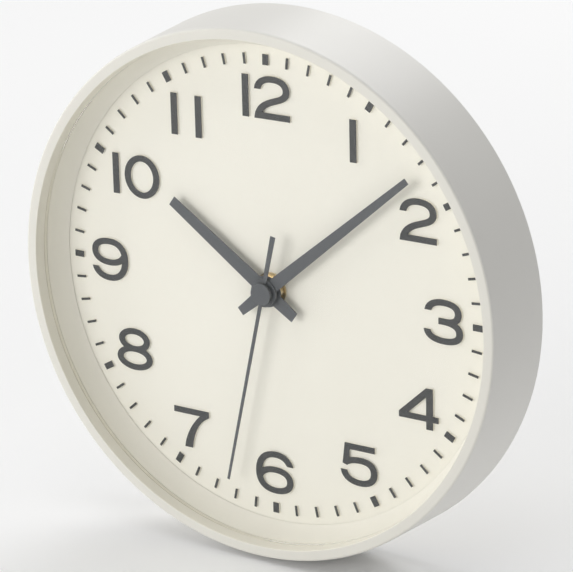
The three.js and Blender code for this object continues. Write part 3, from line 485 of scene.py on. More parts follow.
def closed_up(piece):
    """Merges doubled vertices, points the faces outwards and leaves edit mode."""
    bpy.ops.mesh.select_all(action="SELECT")
    bpy.ops.mesh.remove_doubles(threshold=MERGE)
    bpy.ops.mesh.normals_make_consistent(inside=False)
    bpy.ops.object.mode_set(mode="OBJECT")
    return piece


# For a piece turned about X, Y or Z: the direction in which its section is drawn, and the axis.
TURNING = {
    "X": (Vector((0, 0, 1)), Vector((1, 0, 0))),
    "Y": (Vector((1, 0, 0)), Vector((0, 1, 0))),
    "Z": (Vector((1, 0, 0)), Vector((0, 0, 1))),
}


def spun(name, section, steps, centre=AXIS, axis="Y"):
    """A piece turned about an axis through centre, from a section of (radius, height) points.

    A section that starts off the axis is a ring's, and is closed.
    """
    if section[0][0] > 0:
        section = [*section, section[0]]
    outward, along = TURNING[axis]
    base = centre - along * centre.dot(along)
    piece = drawn(name, [base + outward * radius + along * height for radius, height in section])
    bpy.ops.mesh.select_all(action="SELECT")
    bpy.ops.mesh.remove_doubles(threshold=MERGE)
    bpy.ops.mesh.select_all(action="SELECT")
    bpy.ops.mesh.spin(steps=steps, angle=math.tau, center=base, axis=along)
    return closed_up(piece)


def plate(name, outline, front, rear, centre=AXIS):
    """A flat piece that faces the front, from a closed outline of (x, z) points about centre."""
    flat = Vector((centre.x, 0, centre.z))
    piece = drawn(name, [flat + Vector((x, front, z)) for x, z in outline])
    bpy.ops.mesh.select_all(action="SELECT")
    bpy.ops.mesh.edge_face_add()
    bpy.ops.mesh.select_all(action="SELECT")
    bpy.ops.mesh.extrude_region_move(TRANSFORM_OT_translate={"value": (0, rear - front, 0)})
    return closed_up(piece)


def disc(name, radius, front, rear, steps=64, centre=AXIS):
    """A flat round body that faces the front."""
    return spun(name, [(0, front), (radius, front), (radius, rear), (0, rear)], steps, centre)


print("pieces can be drawn, turned about", ", ".join(TURNING), "and cut from plate")

# %% Shaping and finishing
FLAT_ANGLE = math.radians(0.5)  # faces that turn by less than this lie in one plane


def merged_faces():
    """In edit mode: merges doubled vertices and the faces of one plane, then leaves edit mode."""
    bpy.ops.mesh.select_all(action="SELECT")
    bpy.ops.mesh.remove_doubles(threshold=MERGE)
    bpy.ops.mesh.select_all(action="SELECT")
    bpy.ops.mesh.dissolve_limited(angle_limit=FLAT_ANGLE)
    bpy.ops.object.mode_set(mode="OBJECT")


def shaped(piece, kind, **settings):
    """Adds a modifier, sets it up and applies it."""
    only(piece)
    bpy.ops.object.modifier_add(type=kind)
    modifier = piece.modifiers[-1]
    for key, value in settings.items():
        setattr(modifier, key, value)
    bpy.ops.object.modifier_apply(modifier=modifier.name)


def combined(piece, operation, *tools):
    """Joins tools to a piece, cuts them away, or keeps what they share."""
    for tool in tools:
        shaped(piece, "BOOLEAN", operation=operation, object=tool, solver="EXACT")
        bpy.data.objects.remove(tool)
    only(piece)
    bpy.ops.object.mode_set(mode="EDIT")
    merged_faces()


def joined(piece, other):
    """Makes another object's mesh part of a piece, as a shell of its own."""
    only(piece)
    other.select_set(True)
    bpy.ops.object.join()


def softened(piece, width, segments=2, angle=35):
    """Rounds every edge that turns by more than angle degrees."""
    shaped(
        piece, "BEVEL", width=width, segments=segments, limit_method="ANGLE",
        angle_limit=math.radians(angle),
    )


def finished(piece, finish, body, slot, *replaced, angle=30):
    """Smooths a piece, gives it its finish and lets it ride on its body."""
    only(piece)
    bpy.ops.object.shade_smooth_by_angle(angle=math.radians(angle))
    shaped(piece, "WEIGHTED_NORMAL", keep_sharp=True)
    piece.data.materials.clear()
    piece.data.materials.append(finish)
    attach(piece, body)
    if replaced:
        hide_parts(*replaced)
    print(piece.name, "has", len(piece.data.polygons), "faces")


def from_frame(node, name):
    """A copy of a mechanical node, its triangles merged into whole faces."""
    only(nodes[node])
    bpy.ops.object.duplicate()
    piece = bpy.context.object
    piece.name = piece.data.name = name
    piece.parent = None
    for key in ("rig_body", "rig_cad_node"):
        del piece[key]
    bpy.ops.object.mode_set(mode="EDIT")
    bpy.ops.mesh.select_mode(type="EDGE")
    merged_faces()
    return piece


# %% [markdown]
# ## Floor
# A wide sheet of matte white paper, on which the clock stands on its rim. Its far edge is
# well beyond anything the lens sees.

# %% Floor
FLOOR_SIZE = 14
bpy.ops.object.select_all(action="DESELECT")
bpy.ops.mesh.primitive_grid_add(
    x_subdivisions=8, y_subdivisions=8, size=FLOOR_SIZE, location=(0, 0, case_low.z)
)
floor = bpy.context.object
floor.name = "studio_floor"
paper = Finish("white_paper", roughness=0.85, specular_ior_level=0.2)
fibre = paper.noise(1.2 * MM, 4)
paper.set(base_color=paper.blend(fibre, (0.90, 0.90, 0.90), (0.925, 0.925, 0.925)))
floor.data.materials.append(paper.material)
print("floor at", round(case_low.z, 4))

# %% [markdown]
# ## Case ring
# The case is one moulding: a slim lip round the front, a side wall that widens a little
# towards the wall, and a groove inside for the back cover. It is a turned form, so its section
# is drawn once and spun. The outer front edge has a generous round and the inner edge of the
# lip a small one. Those two rounds are cut in the section itself, as short arcs, so that the
# wide flat lip between them stays truly flat.

# %% Case ring
RIM_WIDTH = 3.4 * MM
LIP_RADIUS, LIP_DRAFT = 122 * MM, 0.4 * MM
FRONT_RADIUS = 127.4 * MM
RING_STEPS = 192
cover_low, cover_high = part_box("back_cover")
glass_low, glass_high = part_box("front_glass")
GLASS_RADIUS = (glass_high.x - glass_low.x) / 2


def arc(centre, radius, start, end, steps):
    """Points of an arc in a section, from start to end degrees."""
    angles = [math.radians(start + (end - start) * i / steps) for i in range(steps + 1)]
    return [(centre[0] + radius * math.cos(a), centre[1] + radius * math.sin(a)) for a in angles]


SEAT_DEPTH = glass_low.y - 0.3 * MM
GROOVE_FRONT = cover_low.y + MM
GROOVE_REAR = GROOVE_FRONT + 2 * MM
INNER_RADIUS, LIP_FOOT = CASE_RADIUS - RIM_WIDTH, LIP_RADIUS - LIP_DRAFT
OUTER_EDGE, LIP_EDGE, REAR_EDGE = 1.2 * MM, 0.45 * MM, 0.6 * MM
case_section = [
    *arc((CASE_RADIUS - REAR_EDGE, -REAR_EDGE), REAR_EDGE, 0, 90, 4),
    (INNER_RADIUS + 0.2 * MM, 0),
    (INNER_RADIUS, -0.2 * MM),
    (INNER_RADIUS, GROOVE_REAR),
    (INNER_RADIUS + 0.8 * MM, GROOVE_REAR),
    (INNER_RADIUS + 0.8 * MM, GROOVE_FRONT),
    (INNER_RADIUS - 0.1 * MM, GROOVE_FRONT),
    (GLASS_RADIUS + 0.5 * MM, SEAT_DEPTH),
    (LIP_FOOT + 0.15 * MM, SEAT_DEPTH),
    (LIP_FOOT, SEAT_DEPTH - 0.15 * MM),
    *arc((LIP_RADIUS + LIP_EDGE, CASE_FRONT + LIP_EDGE), LIP_EDGE, 180, 270, 4),
    *arc((FRONT_RADIUS - OUTER_EDGE, CASE_FRONT + OUTER_EDGE), OUTER_EDGE, 270, 360, 6),
]
case_shell = spun("case_shell", case_section, RING_STEPS)
finished(case_shell, case_white, "clock", "case_white", "case_ring")

# %% [markdown]
# ## Glass and spacer ring
# The glass drops in from behind and rests on the lip, and a coved ring holds it off the dial.
# Its clear middle and its ground rim, which only a slanting look reaches, are two pieces.
# The cove is what shows inside the lip, and it lightens towards the dial because it opens to
# the light. Its curve is one quadratic bend between two corners.

# %% Glass and spacer ring
GLASS_VIEW_RADIUS = LIP_FOOT + 0.1 * MM  # the lip hides the glass beyond this
GLASS_EDGE = 0.25 * MM
GROUND_RADIUS = GLASS_VIEW_RADIUS + 0.02 * MM
front_pane = disc("front_pane", GLASS_VIEW_RADIUS, glass_low.y, glass_high.y, RING_STEPS)
finished(front_pane, clear_glass, "clock", "clear_glass", "front_glass")
rim_section = [
    (GROUND_RADIUS, glass_low.y),
    (GLASS_RADIUS - GLASS_EDGE, glass_low.y),
    (GLASS_RADIUS, glass_low.y + GLASS_EDGE),
    (GLASS_RADIUS, glass_high.y - GLASS_EDGE),
    (GLASS_RADIUS - GLASS_EDGE, glass_high.y),
    (GROUND_RADIUS, glass_high.y),
]
pane_rim = spun("pane_rim", rim_section, RING_STEPS)
finished(pane_rim, ground_glass_painted_shade, "clock", "clear_glass")


def bend(start, middle, end, steps):
    """Points of a quadratic curve from start to end, drawn towards middle."""
    shares = [i / steps for i in range(steps + 1)]
    return [
        tuple((1 - t) ** 2 * a + 2 * t * (1 - t) * m + t * t * b for a, m, b in zip(start, middle, end))
        for t in shares
    ]


spacer_low, spacer_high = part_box("spacer_ring")
COVE_FOOT = (116 * MM, spacer_high.y)
COVE_BEND = (118.9 * MM, -24.9 * MM)
COVE_TOP = (121.4 * MM, spacer_low.y + 1.2 * MM)
cove_section = [
    *bend(COVE_FOOT, COVE_BEND, COVE_TOP, 10),
    (COVE_TOP[0] + 0.3 * MM, spacer_low.y),
    (GLASS_RADIUS, spacer_low.y),
    (GLASS_RADIUS, spacer_high.y),
]
cove_ring = spun("cove_ring", cove_section, RING_STEPS)
finished(cove_ring, cove_shaded_cream, "clock", "dial_cream", "spacer_ring")

# %% [markdown]
# ## Dial and its print
# Numerals and minute marks are moulded with the dial and stand a millimetre proud, so each
# one throws a small shadow. Their outlines come from the mechanical node. The flat tops are
# copied, let out by a tenth of a millimetre and thickened backwards: that cap of dark ink wraps
# over the edge of each figure, as a hot stamp or a dipped print does. Where the bowl of a six or
# a nine closes on its stem the faces are broken up, so a drop of ink is laid over that joint.

# %% Dial plate
RELIEF_TOP = dial_low.y
dial_plate = from_frame("dial", "dial_plate")
print("dial plate with its numerals:", len(dial_plate.data.polygons), "faces")


def pick(piece, test):
    """Selects the faces of a piece that pass a test, in edit mode, and counts them."""
    only(piece)
    bpy.ops.object.mode_set(mode="EDIT")
    bpy.ops.mesh.select_mode(type="FACE")
    bpy.ops.mesh.select_all(action="DESELECT")
    chosen = [face for face in bmesh.from_edit_mesh(piece.data).faces if test(face)]
    for face in chosen:
        face.select_set(True)
    bmesh.update_edit_mesh(piece.data)
    return len(chosen)


# %% Print on the raised tops
INK_LIFT, INK_REACH, INK_DEPTH = 0.01 * MM, 0.09 * MM, 0.3 * MM
FRONT_FACING = -0.999  # a normal's y on a face that looks to the front
LEVEL_SLACK = 0.005 * MM


def is_top_face(face):
    """Whether a face is the flat top of a numeral or mark."""
    height = face.calc_center_median().y
    return face.normal.y < FRONT_FACING and abs(height - RELIEF_TOP) < LEVEL_SLACK


def is_side_face(face):
    """Whether a face runs from front to back."""
    return abs(face.normal.y) < 0.5


count = pick(dial_plate, is_top_face)
bpy.ops.mesh.duplicate()
bpy.ops.mesh.separate(type="SELECTED")
bpy.ops.object.mode_set(mode="OBJECT")
figure_print = next(o for o in bpy.context.selected_objects if o != dial_plate)
figure_print.name = figure_print.data.name = "figure_print"
only(figure_print)
bpy.ops.object.mode_set(mode="EDIT")
bpy.ops.mesh.select_mode(type="FACE")
bpy.ops.mesh.select_all(action="SELECT")
bpy.ops.transform.translate(value=(0, -INK_LIFT, 0))
bpy.ops.mesh.extrude_region_move(TRANSFORM_OT_translate={"value": (0, INK_DEPTH, 0)})
closed_up(figure_print)
pick(figure_print, is_side_face)
bpy.ops.transform.shrink_fatten(value=INK_REACH, use_even_offset=True)
bpy.ops.object.mode_set(mode="OBJECT")
print(count, "raised tops printed")

# %% Ink over the joints of the six and the nine
# Corners in millimetres about the middle of a six, whose bowl closes on its stem. A nine is a
# six turned upside down.
BOWL_JOINT = [(-10.5, 1.0), (-7.6, 1.0), (-6.6, -0.6), (-7.35, -2.6), (-7.2, -4.3)]
BOWL_JOINT += [(-9.8, -4.3), (-10.45, -2.0)]
SIX, NINE = ((0, -91.7), 1), ((-91.8, -0.2), -1)
for (x, z), turn in (SIX, NINE):
    outline = [((x + turn * u) * MM, (z + turn * v) * MM) for u, v in BOWL_JOINT]
    joined(figure_print, plate("ink_drop", outline, RELIEF_TOP - 2 * INK_LIFT, RELIEF_TOP + INK_DEPTH))
finished(dial_plate, dial_cream, "clock", "dial_cream", "dial")
finished(figure_print, dial_ink, "clock", "dial_ink")

# %% [markdown]
# ## Hands
# Each hand is stamped from sheet: a long baton that tapers to a blunt tip and, the other way,
# to a short tail. The outline is drawn with the hand at twelve o'clock, a round boss is joined
# to it, the bore is cut, and the edges are rounded as a tumbled stamping's are. Then the
# object is turned to the time it shows, and the turn is applied to its mesh.

# %% Hands
def bored(piece, radius, front, rear, centre=AXIS):
    """Cuts a round hole through a piece."""
    combined(piece, "DIFFERENCE", disc("bore_tool", radius, front - MM, rear + MM, 48, centre))


HAND_EDGE = 0.1 * MM


def raised_boss(radius, bore, front, rear):
    """A round boss with an eased front edge, to stand on a hand."""
    section = [
        (bore, front),
        (radius - HAND_EDGE, front),
        (radius - HAND_EDGE * 0.3, front + HAND_EDGE * 0.3),
        (radius, front + HAND_EDGE),
        (radius, rear),
        (bore, rear),
    ]
    return spun("boss_top", section, 96)


def hand(name, node, body, angle, width, length, tail, boss, bore, raised=0.0):
    """A tapered hand, all in millimetres: width is that at the tip, the hub and the tail's end."""
    tip, hub, end = (w / 2 * MM for w in width)
    length, tail, boss, bore, raised = (size * MM for size in (length, tail, boss, bore, raised))
    low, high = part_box(node)
    front, rear = low.y + raised, high.y
    outline = [(-end, -tail), (end, -tail), (hub, 0), (tip, length), (-tip, length), (-hub, 0)]
    piece = plate(name, outline, front, rear)
    combined(piece, "UNION", disc("boss_tool", boss, front, rear, 96))
    bored(piece, bore, low.y, rear)
    softened(piece, HAND_EDGE, 2)
    if raised:
        joined(piece, raised_boss(boss - 0.02 * MM, bore, low.y, front + 0.2 * MM))
    only(piece)
    bpy.context.scene.cursor.location = AXIS
    bpy.ops.object.origin_set(type="ORIGIN_CURSOR")
    piece.rotation_euler.y = math.radians(angle)
    bpy.ops.object.transform_apply(location=True, rotation=True, scale=False)
    finished(piece, hand_grey, body, "hand_grey", node)


hand(
    "hour_baton", "hour_hand", "hours", angle=-55,
    width=(5, 7.3, 5.5), length=63.2, tail=18.2, boss=7.6, bore=2.65,
)
hand(
    "minute_baton", "minute_hand", "minutes", angle=49.75,
    width=(3.15, 6.5, 4.4), length=100.2, tail=17.6, boss=6.8, bore=1.7, raised=0.8,
)
hand(
    "second_needle", "second_hand", "seconds", angle=192.8,
    width=(1.3, 1.9, 2.7), length=99.2, tail=29.2, boss=4, bore=0.55,
)

# %% [markdown]
# ## Cap and centre fixing
# A small flat-topped cap covers the end of the second hand's shaft. Behind the hands a brass
# nut on the movement's threaded bushing clamps the dial, with a washer between. The nut's
# corners are turned off at 30 degrees, which gives the familiar curved facets: that is a hexagon
# and a lens-shaped turned body, keeping only what they share.

# %% Cap
cap_low, cap_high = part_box("second_hand_cap")
CAP_RADIUS = (cap_high.x - cap_low.x) / 2
CAP_EDGE = 0.35 * MM
cap_section = [
    (0, cap_high.y),
    (CAP_RADIUS - 0.1 * MM, cap_high.y),
    (CAP_RADIUS, cap_high.y - 0.1 * MM),
    *reversed(arc((CAP_RADIUS - CAP_EDGE, cap_low.y + CAP_EDGE), CAP_EDGE, 270, 360, 5)),
    (0, cap_low.y),
]
centre_cap = spun("centre_cap", cap_section, 96)
finished(centre_cap, hand_grey, "seconds", "hand_grey", "second_hand_cap")

# %% Nut, washer and bushing
nut_low, nut_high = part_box("fixing_nut")
NUT_CORNER = (nut_high.x - nut_low.x) / 2
BUSHING_RADIUS = 4 * MM
BUSHING_HOLE = BUSHING_RADIUS + 0.3 * MM
FLAT_SHARE, FACET_ANGLE = 0.92, math.radians(30)
corners = [i * math.tau / 6 for i in range(6)]
hexagon = [(NUT_CORNER * math.cos(a), NUT_CORNER * math.sin(a)) for a in corners]
hex_nut = plate("hex_nut", hexagon, nut_low.y, nut_high.y)
flat_radius = NUT_CORNER * FLAT_SHARE
slope = (NUT_CORNER - flat_radius) * math.tan(FACET_ANGLE)
lens_section = [
    (0, nut_low.y),
    (flat_radius, nut_low.y),
    (NUT_CORNER + 0.1 * MM, nut_low.y + slope),
    (NUT_CORNER + 0.1 * MM, nut_high.y - slope),
    (flat_radius, nut_high.y),
    (0, nut_high.y),
]
combined(hex_nut, "INTERSECT", spun("lens_tool", lens_section, 96))
bored(hex_nut, BUSHING_HOLE, nut_low.y, nut_high.y)
softened(hex_nut, 0.08 * MM, 2, 20)
finished(hex_nut, brass, "clock", "brass", "fixing_nut")

washer_low, washer_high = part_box("nut_washer")
WASHER_RADIUS = (washer_high.x - washer_low.x) / 2
flat_washer = disc("flat_washer", WASHER_RADIUS, washer_low.y, washer_high.y, 96)
bored(flat_washer, BUSHING_HOLE, washer_low.y, washer_high.y)
softened(flat_washer, 0.1 * MM)
finished(flat_washer, brass, "clock", "brass", "nut_washer")

# %% [markdown]
# The bushing's thread is a row of ridges round its barrel: at this size a true helix can't be
# told from rings, and rings keep the piece one clean turned form.

# %% Threaded bushing and gasket
bushing_low, bushing_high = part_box("centre_bushing")
THREAD_PITCH, THREAD_DEPTH, BUSHING_BORE = 0.75 * MM, 0.35 * MM, 2.85 * MM
FLANGE_RADIUS, FLANGE_THICKNESS = 6 * MM, 0.6 * MM
barrel_end = bushing_high.y - FLANGE_THICKNESS
ridges = int((barrel_end - bushing_low.y - MM) / THREAD_PITCH)
thread_root = BUSHING_RADIUS - THREAD_DEPTH
thread = []
for i in range(ridges):
    start = bushing_low.y + 0.3 * MM + i * THREAD_PITCH
    thread += [(thread_root, start), (BUSHING_RADIUS, start + THREAD_PITCH / 2)]
bushing_section = [
    (BUSHING_BORE, bushing_low.y),
    (thread_root, bushing_low.y),
    *thread,
    (thread_root, barrel_end - 0.3 * MM),
    (thread_root, barrel_end),
    (FLANGE_RADIUS, barrel_end),
    (FLANGE_RADIUS, bushing_high.y),
    (BUSHING_BORE, bushing_high.y),
]
threaded_bushing = spun("threaded_bushing", bushing_section, 64)
finished(threaded_bushing, brass, "clock", "brass", "centre_bushing")

gasket_low, gasket_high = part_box("rubber_gasket")
GASKET_RADIUS = (gasket_high.x - gasket_low.x) / 2
gasket = disc("dial_gasket", GASKET_RADIUS, gasket_low.y, gasket_high.y, 96)
bored(gasket, BUSHING_HOLE, gasket_low.y, gasket_high.y)
softened(gasket, 0.15 * MM, 3)
finished(gasket, black_rubber, "clock", "black_rubber", "rubber_gasket")

# %% [markdown]
# ## Back cover
# The back is a thin moulded disc held by four screws, with six short lugs that slip into the
# groove of the case. It is turned first, with a shallow decorative channel, and then gets the
# lugs, a thicker patch behind the hanging hole, and raised rims that stiffen both openings.
# The openings are cut through everything, and each screw gets a raised pad with a hole.

# %% Back cover
COVER_FACE = cover_high.y
COVER_INSIDE = COVER_FACE - 2 * MM
COVER_RADIUS = 126 * MM
CHANNEL, CHANNEL_WIDTH, CHANNEL_DEPTH = 110 * MM, 4 * MM, 0.5 * MM
SCREW_CIRCLE = 96 * MM
HOOK_RISE = -AXIS.z  # the clock hangs on the origin


def rounded_rectangle(left, bottom, right, top, radius, steps=6):
    """Outline points of a rectangle with round corners."""
    corners = [
        ((right - radius, top - radius), 0),
        ((left + radius, top - radius), 90),
        ((left + radius, bottom + radius), 180),
        ((right - radius, bottom + radius), 270),
    ]
    rounds = [arc(centre, radius, start, start + 90, steps) for centre, start in corners]
    return [point for points in rounds for point in points]


def turned_outline(outline, degrees):
    """Outline points turned clockwise about the hands' axis."""
    c, s = math.cos(math.radians(degrees)), math.sin(math.radians(degrees))
    return [(x * c + z * s, z * c - x * s) for x, z in outline]


cover_section = [
    (0, COVER_FACE),
    (CHANNEL, COVER_FACE),
    (CHANNEL + CHANNEL_DEPTH, COVER_FACE - CHANNEL_DEPTH),
    (CHANNEL + CHANNEL_WIDTH - CHANNEL_DEPTH, COVER_FACE - CHANNEL_DEPTH),
    (CHANNEL + CHANNEL_WIDTH, COVER_FACE),
    (COVER_RADIUS - 0.4 * MM, COVER_FACE),
    (COVER_RADIUS, COVER_FACE - 0.4 * MM),
    (COVER_RADIUS, COVER_INSIDE),
    (0, COVER_INSIDE),
]
back_shell = spun("back_shell", cover_section, RING_STEPS)
LUG_COUNT, LUG_HALF, LUG_ROOT, LUG_REACH, LUG_THICK = 6, 7 * MM, 3 * MM, 0.8 * MM, 1.2 * MM
lug_outline = [
    (-LUG_HALF, COVER_RADIUS - LUG_ROOT),
    (LUG_HALF, COVER_RADIUS - LUG_ROOT),
    (LUG_HALF - MM, COVER_RADIUS + LUG_REACH),
    (MM - LUG_HALF, COVER_RADIUS + LUG_REACH),
]
for i in range(LUG_COUNT):
    outline = turned_outline(lug_outline, 360 / LUG_COUNT * (i + 0.5))
    combined(back_shell, "UNION", plate("lug_tool", outline, COVER_INSIDE, COVER_INSIDE + LUG_THICK))
print("back cover with", LUG_COUNT, "lugs")

# %% Rims and openings of the back cover
RIM_HEIGHT, RIM_BAND = 0.7 * MM, 1.6 * MM
movement_low, movement_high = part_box("movement_back_housing")
WINDOW_MARGIN, WINDOW_CORNER = 2.5 * MM, 4 * MM


def window_outline(grow):
    """The movement's window in the cover, let out by grow."""
    reach = WINDOW_MARGIN + grow
    return rounded_rectangle(
        movement_low.x - reach, movement_low.z - AXIS.z - reach,
        movement_high.x + reach, movement_high.z - AXIS.z + reach, WINDOW_CORNER + grow,
    )


def hook_outline(grow):
    """The hanging hole: wide enough below for a nail's head, and a narrow seat above."""
    seat, neck, wide = 1.7 * MM + grow, 2.4 * MM + grow, 11 * MM + grow
    right = [
        (wide, -15 * MM - grow),
        (wide, -9 * MM + grow * 0.5),
        (neck, -2.4 * MM + grow * 0.8),
        (seat, -0.7 * MM + grow),
    ]
    outline = [*right, (0, grow * 1.3), *[(-x, z) for x, z in reversed(right)]]
    return [(x, z + HOOK_RISE) for x, z in outline]


COVER_MIDDLE = COVER_INSIDE + MM
CUT_FRONT = -10 * MM
patch = rounded_rectangle(-17 * MM, HOOK_RISE - 21 * MM, 17 * MM, HOOK_RISE + 6 * MM, 2 * MM)
patch_plate = plate("patch_tool", patch, cover_low.y, COVER_MIDDLE)
window_rim = plate("rim_tool", window_outline(RIM_BAND), COVER_MIDDLE, COVER_FACE + RIM_HEIGHT)
hook_rim = plate("rim_tool", hook_outline(RIM_BAND), COVER_MIDDLE, COVER_FACE + RIM_HEIGHT)
softened(window_rim, 0.3 * MM, 3)
softened(hook_rim, 0.3 * MM, 3)
combined(back_shell, "UNION", patch_plate, window_rim, hook_rim)
window_cut = plate("window_tool", window_outline(0), CUT_FRONT, 0)
hook_cut = plate("hook_tool", hook_outline(0), CUT_FRONT, 0)
combined(back_shell, "DIFFERENCE", window_cut, hook_cut)
print("window and hanging hole cut")

# %% Screw pads
SCREW_ANGLES = [math.radians(degrees) for degrees in (45, 135, 225, 315)]
SCREW_HOLE = 1.7 * MM
screw_places = [AXIS + Vector((math.cos(a), 0, math.sin(a))) * SCREW_CIRCLE for a in SCREW_ANGLES]
pad_section = [
    (0, COVER_MIDDLE),
    (5.2 * MM, COVER_MIDDLE),
    (5.2 * MM, COVER_FACE + 0.05 * MM),
    (5.0 * MM, COVER_FACE + 0.2 * MM),
    (3.6 * MM, COVER_FACE + 0.2 * MM),
    (3.4 * MM, COVER_FACE),
    (0, COVER_FACE),
]
for place in screw_places:
    combined(back_shell, "UNION", spun("pad_tool", pad_section, 48, place))
    bored(back_shell, SCREW_HOLE, COVER_INSIDE, COVER_FACE, place)
finished(back_shell, case_white, "clock", "case_white", "back_cover")

# %% [markdown]
# ## Cover screws
# A self-tapping screw with a pan head. The head and the threaded shank are one turned form, and
# the cross recess is cut with two crossing blades. One screw is modelled and three are copies.

# %% Cover screws
SEAT = COVER_FACE + 0.1 * MM
HEAD_RADIUS, SHANK_RADIUS, SCREW_LENGTH = 2.9 * MM, 1.3 * MM, 10 * MM
HEAD_RIM, HEAD_DOME = 0.45 * MM, 0.85 * MM
SCREW_PITCH, SCREW_ROOT = 1.1 * MM, SHANK_RADIUS - 0.35 * MM
tip = SEAT - SCREW_LENGTH
head = [
    (HEAD_RADIUS * math.sin(a), SEAT + HEAD_RIM + HEAD_DOME * math.cos(a))
    for a in (math.radians(degrees) for degrees in (22, 40, 56, 70, 82, 90))
]
screw_section = [(0, SEAT + HEAD_RIM + HEAD_DOME), *head, (HEAD_RADIUS, SEAT), (SHANK_RADIUS, SEAT)]
for i in range(int(SCREW_LENGTH / SCREW_PITCH) - 1):
    start = SEAT - 0.6 * MM - i * SCREW_PITCH
    screw_section += [
        (SCREW_ROOT, start),
        (SCREW_ROOT, start - SCREW_PITCH * 0.4),
        (SHANK_RADIUS, start - SCREW_PITCH * 0.7),
    ]
screw_section += [(SHANK_RADIUS - 0.4 * MM, tip + 0.5 * MM), (0, tip)]
cover_screw = spun("cover_screw_body_1", screw_section, 32, screw_places[0])
SLOT_HALF, SLOT_NARROW, SLOT_FLOOR = 1.4 * MM, 0.3 * MM, SEAT + 0.6 * MM
for reach_x, reach_z in ((SLOT_HALF, SLOT_NARROW), (SLOT_NARROW, SLOT_HALF)):
    blade = rounded_rectangle(-reach_x, -reach_z, reach_x, reach_z, 0.15 * MM, 2)
    cutter = plate("slot_tool", blade, SLOT_FLOOR, SEAT + 3 * MM, screw_places[0])
    combined(cover_screw, "DIFFERENCE", cutter)
for i, place in enumerate(screw_places[1:], 2):
    only(cover_screw)
    bpy.ops.object.duplicate()
    twin = bpy.context.object
    twin.name = twin.data.name = f"cover_screw_body_{i}"
    twin.location = place - screw_places[0]
    bpy.ops.object.transform_apply(location=True, rotation=False, scale=False)
    finished(twin, screw_steel, "clock", "screw_steel", f"cover_screw_{i}")
finished(cover_screw, screw_steel, "clock", "screw_steel", "cover_screw_1")

# %% [markdown]
# ## Movement housing
# The movement is a black two-part box with the battery bay along its foot. Both halves take
# their walls, floors and pivot holes from the mechanical model, because the gears turn in them.
# The back half then gets what a maker's mould adds for the user: a ring round the
# setting knob, and raised plus and minus signs at the battery's ends.

# %% Movement housing
def taken(node, name, finish, body, slot, width, angle=42, segments=2):
    """A mechanical piece with its edges rounded and the visible finish, in place of its node."""
    piece = from_frame(node, name)
    softened(piece, width, segments, 50)
    finished(piece, finish, body, slot, node, angle=angle)


MOULD_EDGE = 0.2 * MM
taken("movement_front_housing", "housing_front_half", movement_black, "clock", "movement_black", MOULD_EDGE)

knob_low, knob_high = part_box("setting_knob")
KNOB_PLACE = (knob_low + knob_high) / 2
HOUSING_BACK = movement_high.y
SIGN_ROOT, SIGN_TOP = HOUSING_BACK - 0.3 * MM, HOUSING_BACK + 0.3 * MM
SIGN_HALF, SIGN_STROKE, SIGN_RISE, SIGN_SHIFT = 2.2 * MM, 0.5 * MM, -15.4 * MM, 21 * MM
housing_back = from_frame("movement_back_housing", "housing_back_half")
softened(housing_back, MOULD_EDGE, 2, 50)


def bar(x, z, half_x, half_z):
    """One raised stroke of a sign."""
    outline = rounded_rectangle(x - half_x, z - half_z, x + half_x, z + half_z, 0.2 * MM, 2)
    return plate("sign_tool", outline, SIGN_ROOT, SIGN_TOP)


RING_INNER, RING_OUTER = 7.6 * MM, 8.3 * MM
knob_ring_section = [
    (RING_INNER, SIGN_ROOT),
    (RING_OUTER, SIGN_ROOT),
    (RING_OUTER, SIGN_TOP),
    (RING_INNER, SIGN_TOP),
]
knob_ring = spun("ring_tool", knob_ring_section, 72, KNOB_PLACE)
combined(
    housing_back,
    "UNION",
    bar(SIGN_SHIFT, SIGN_RISE, SIGN_HALF, SIGN_STROKE),
    bar(SIGN_SHIFT, SIGN_RISE, SIGN_STROKE, SIGN_HALF),
    bar(-SIGN_SHIFT, SIGN_RISE, SIGN_HALF, SIGN_STROKE),
    knob_ring,
)
finished(housing_back, movement_black, "clock", "movement_black", "movement_back_housing", angle=42)

# %% [markdown]
# ## Gear train
# Wheels and pinions are moulded in white acetal. Their teeth must mesh, so they come from the
# mechanical model as they are, and only lose the knife edges that a mould can't make.

# %% Gear train
GEAR_EDGE = 0.03 * MM
GEARS = {
    "hour_wheel": "hours", "cannon_pinion": "minutes", "minute_wheel": "minute_wheel",
    "centre_wheel": "centre_wheel", "third_wheel": "third_wheel", "fourth_wheel": "seconds",
    "fifth_wheel": "fifth_wheel", "rotor": "rotor",
}
for node, body in GEARS.items():
    taken(node, node + "_moulded", gear_white, body, "gear_white", GEAR_EDGE)
taken("train_bridge", "bridge_plate", bridge_clear, "clock", "bridge_clear", 0.1 * MM)
taken("rotor_magnet", "magnet_ring", magnet_grey, "rotor", "magnet_grey", 0.1 * MM)
taken("setting_knob", "knob_turned", movement_black, "setting_knob", "movement_black", 0.08 * MM)

# %% [markdown]
# ## Motor and electronics
# A stepping motor drives the train: a coil on a bobbin, an iron core through it, and a stator
# round the magnet. The winding is turned with one ridge for each visible turn of wire. The
# board carries a blob of resin over its chip, and a quartz crystal in a small drawn can.

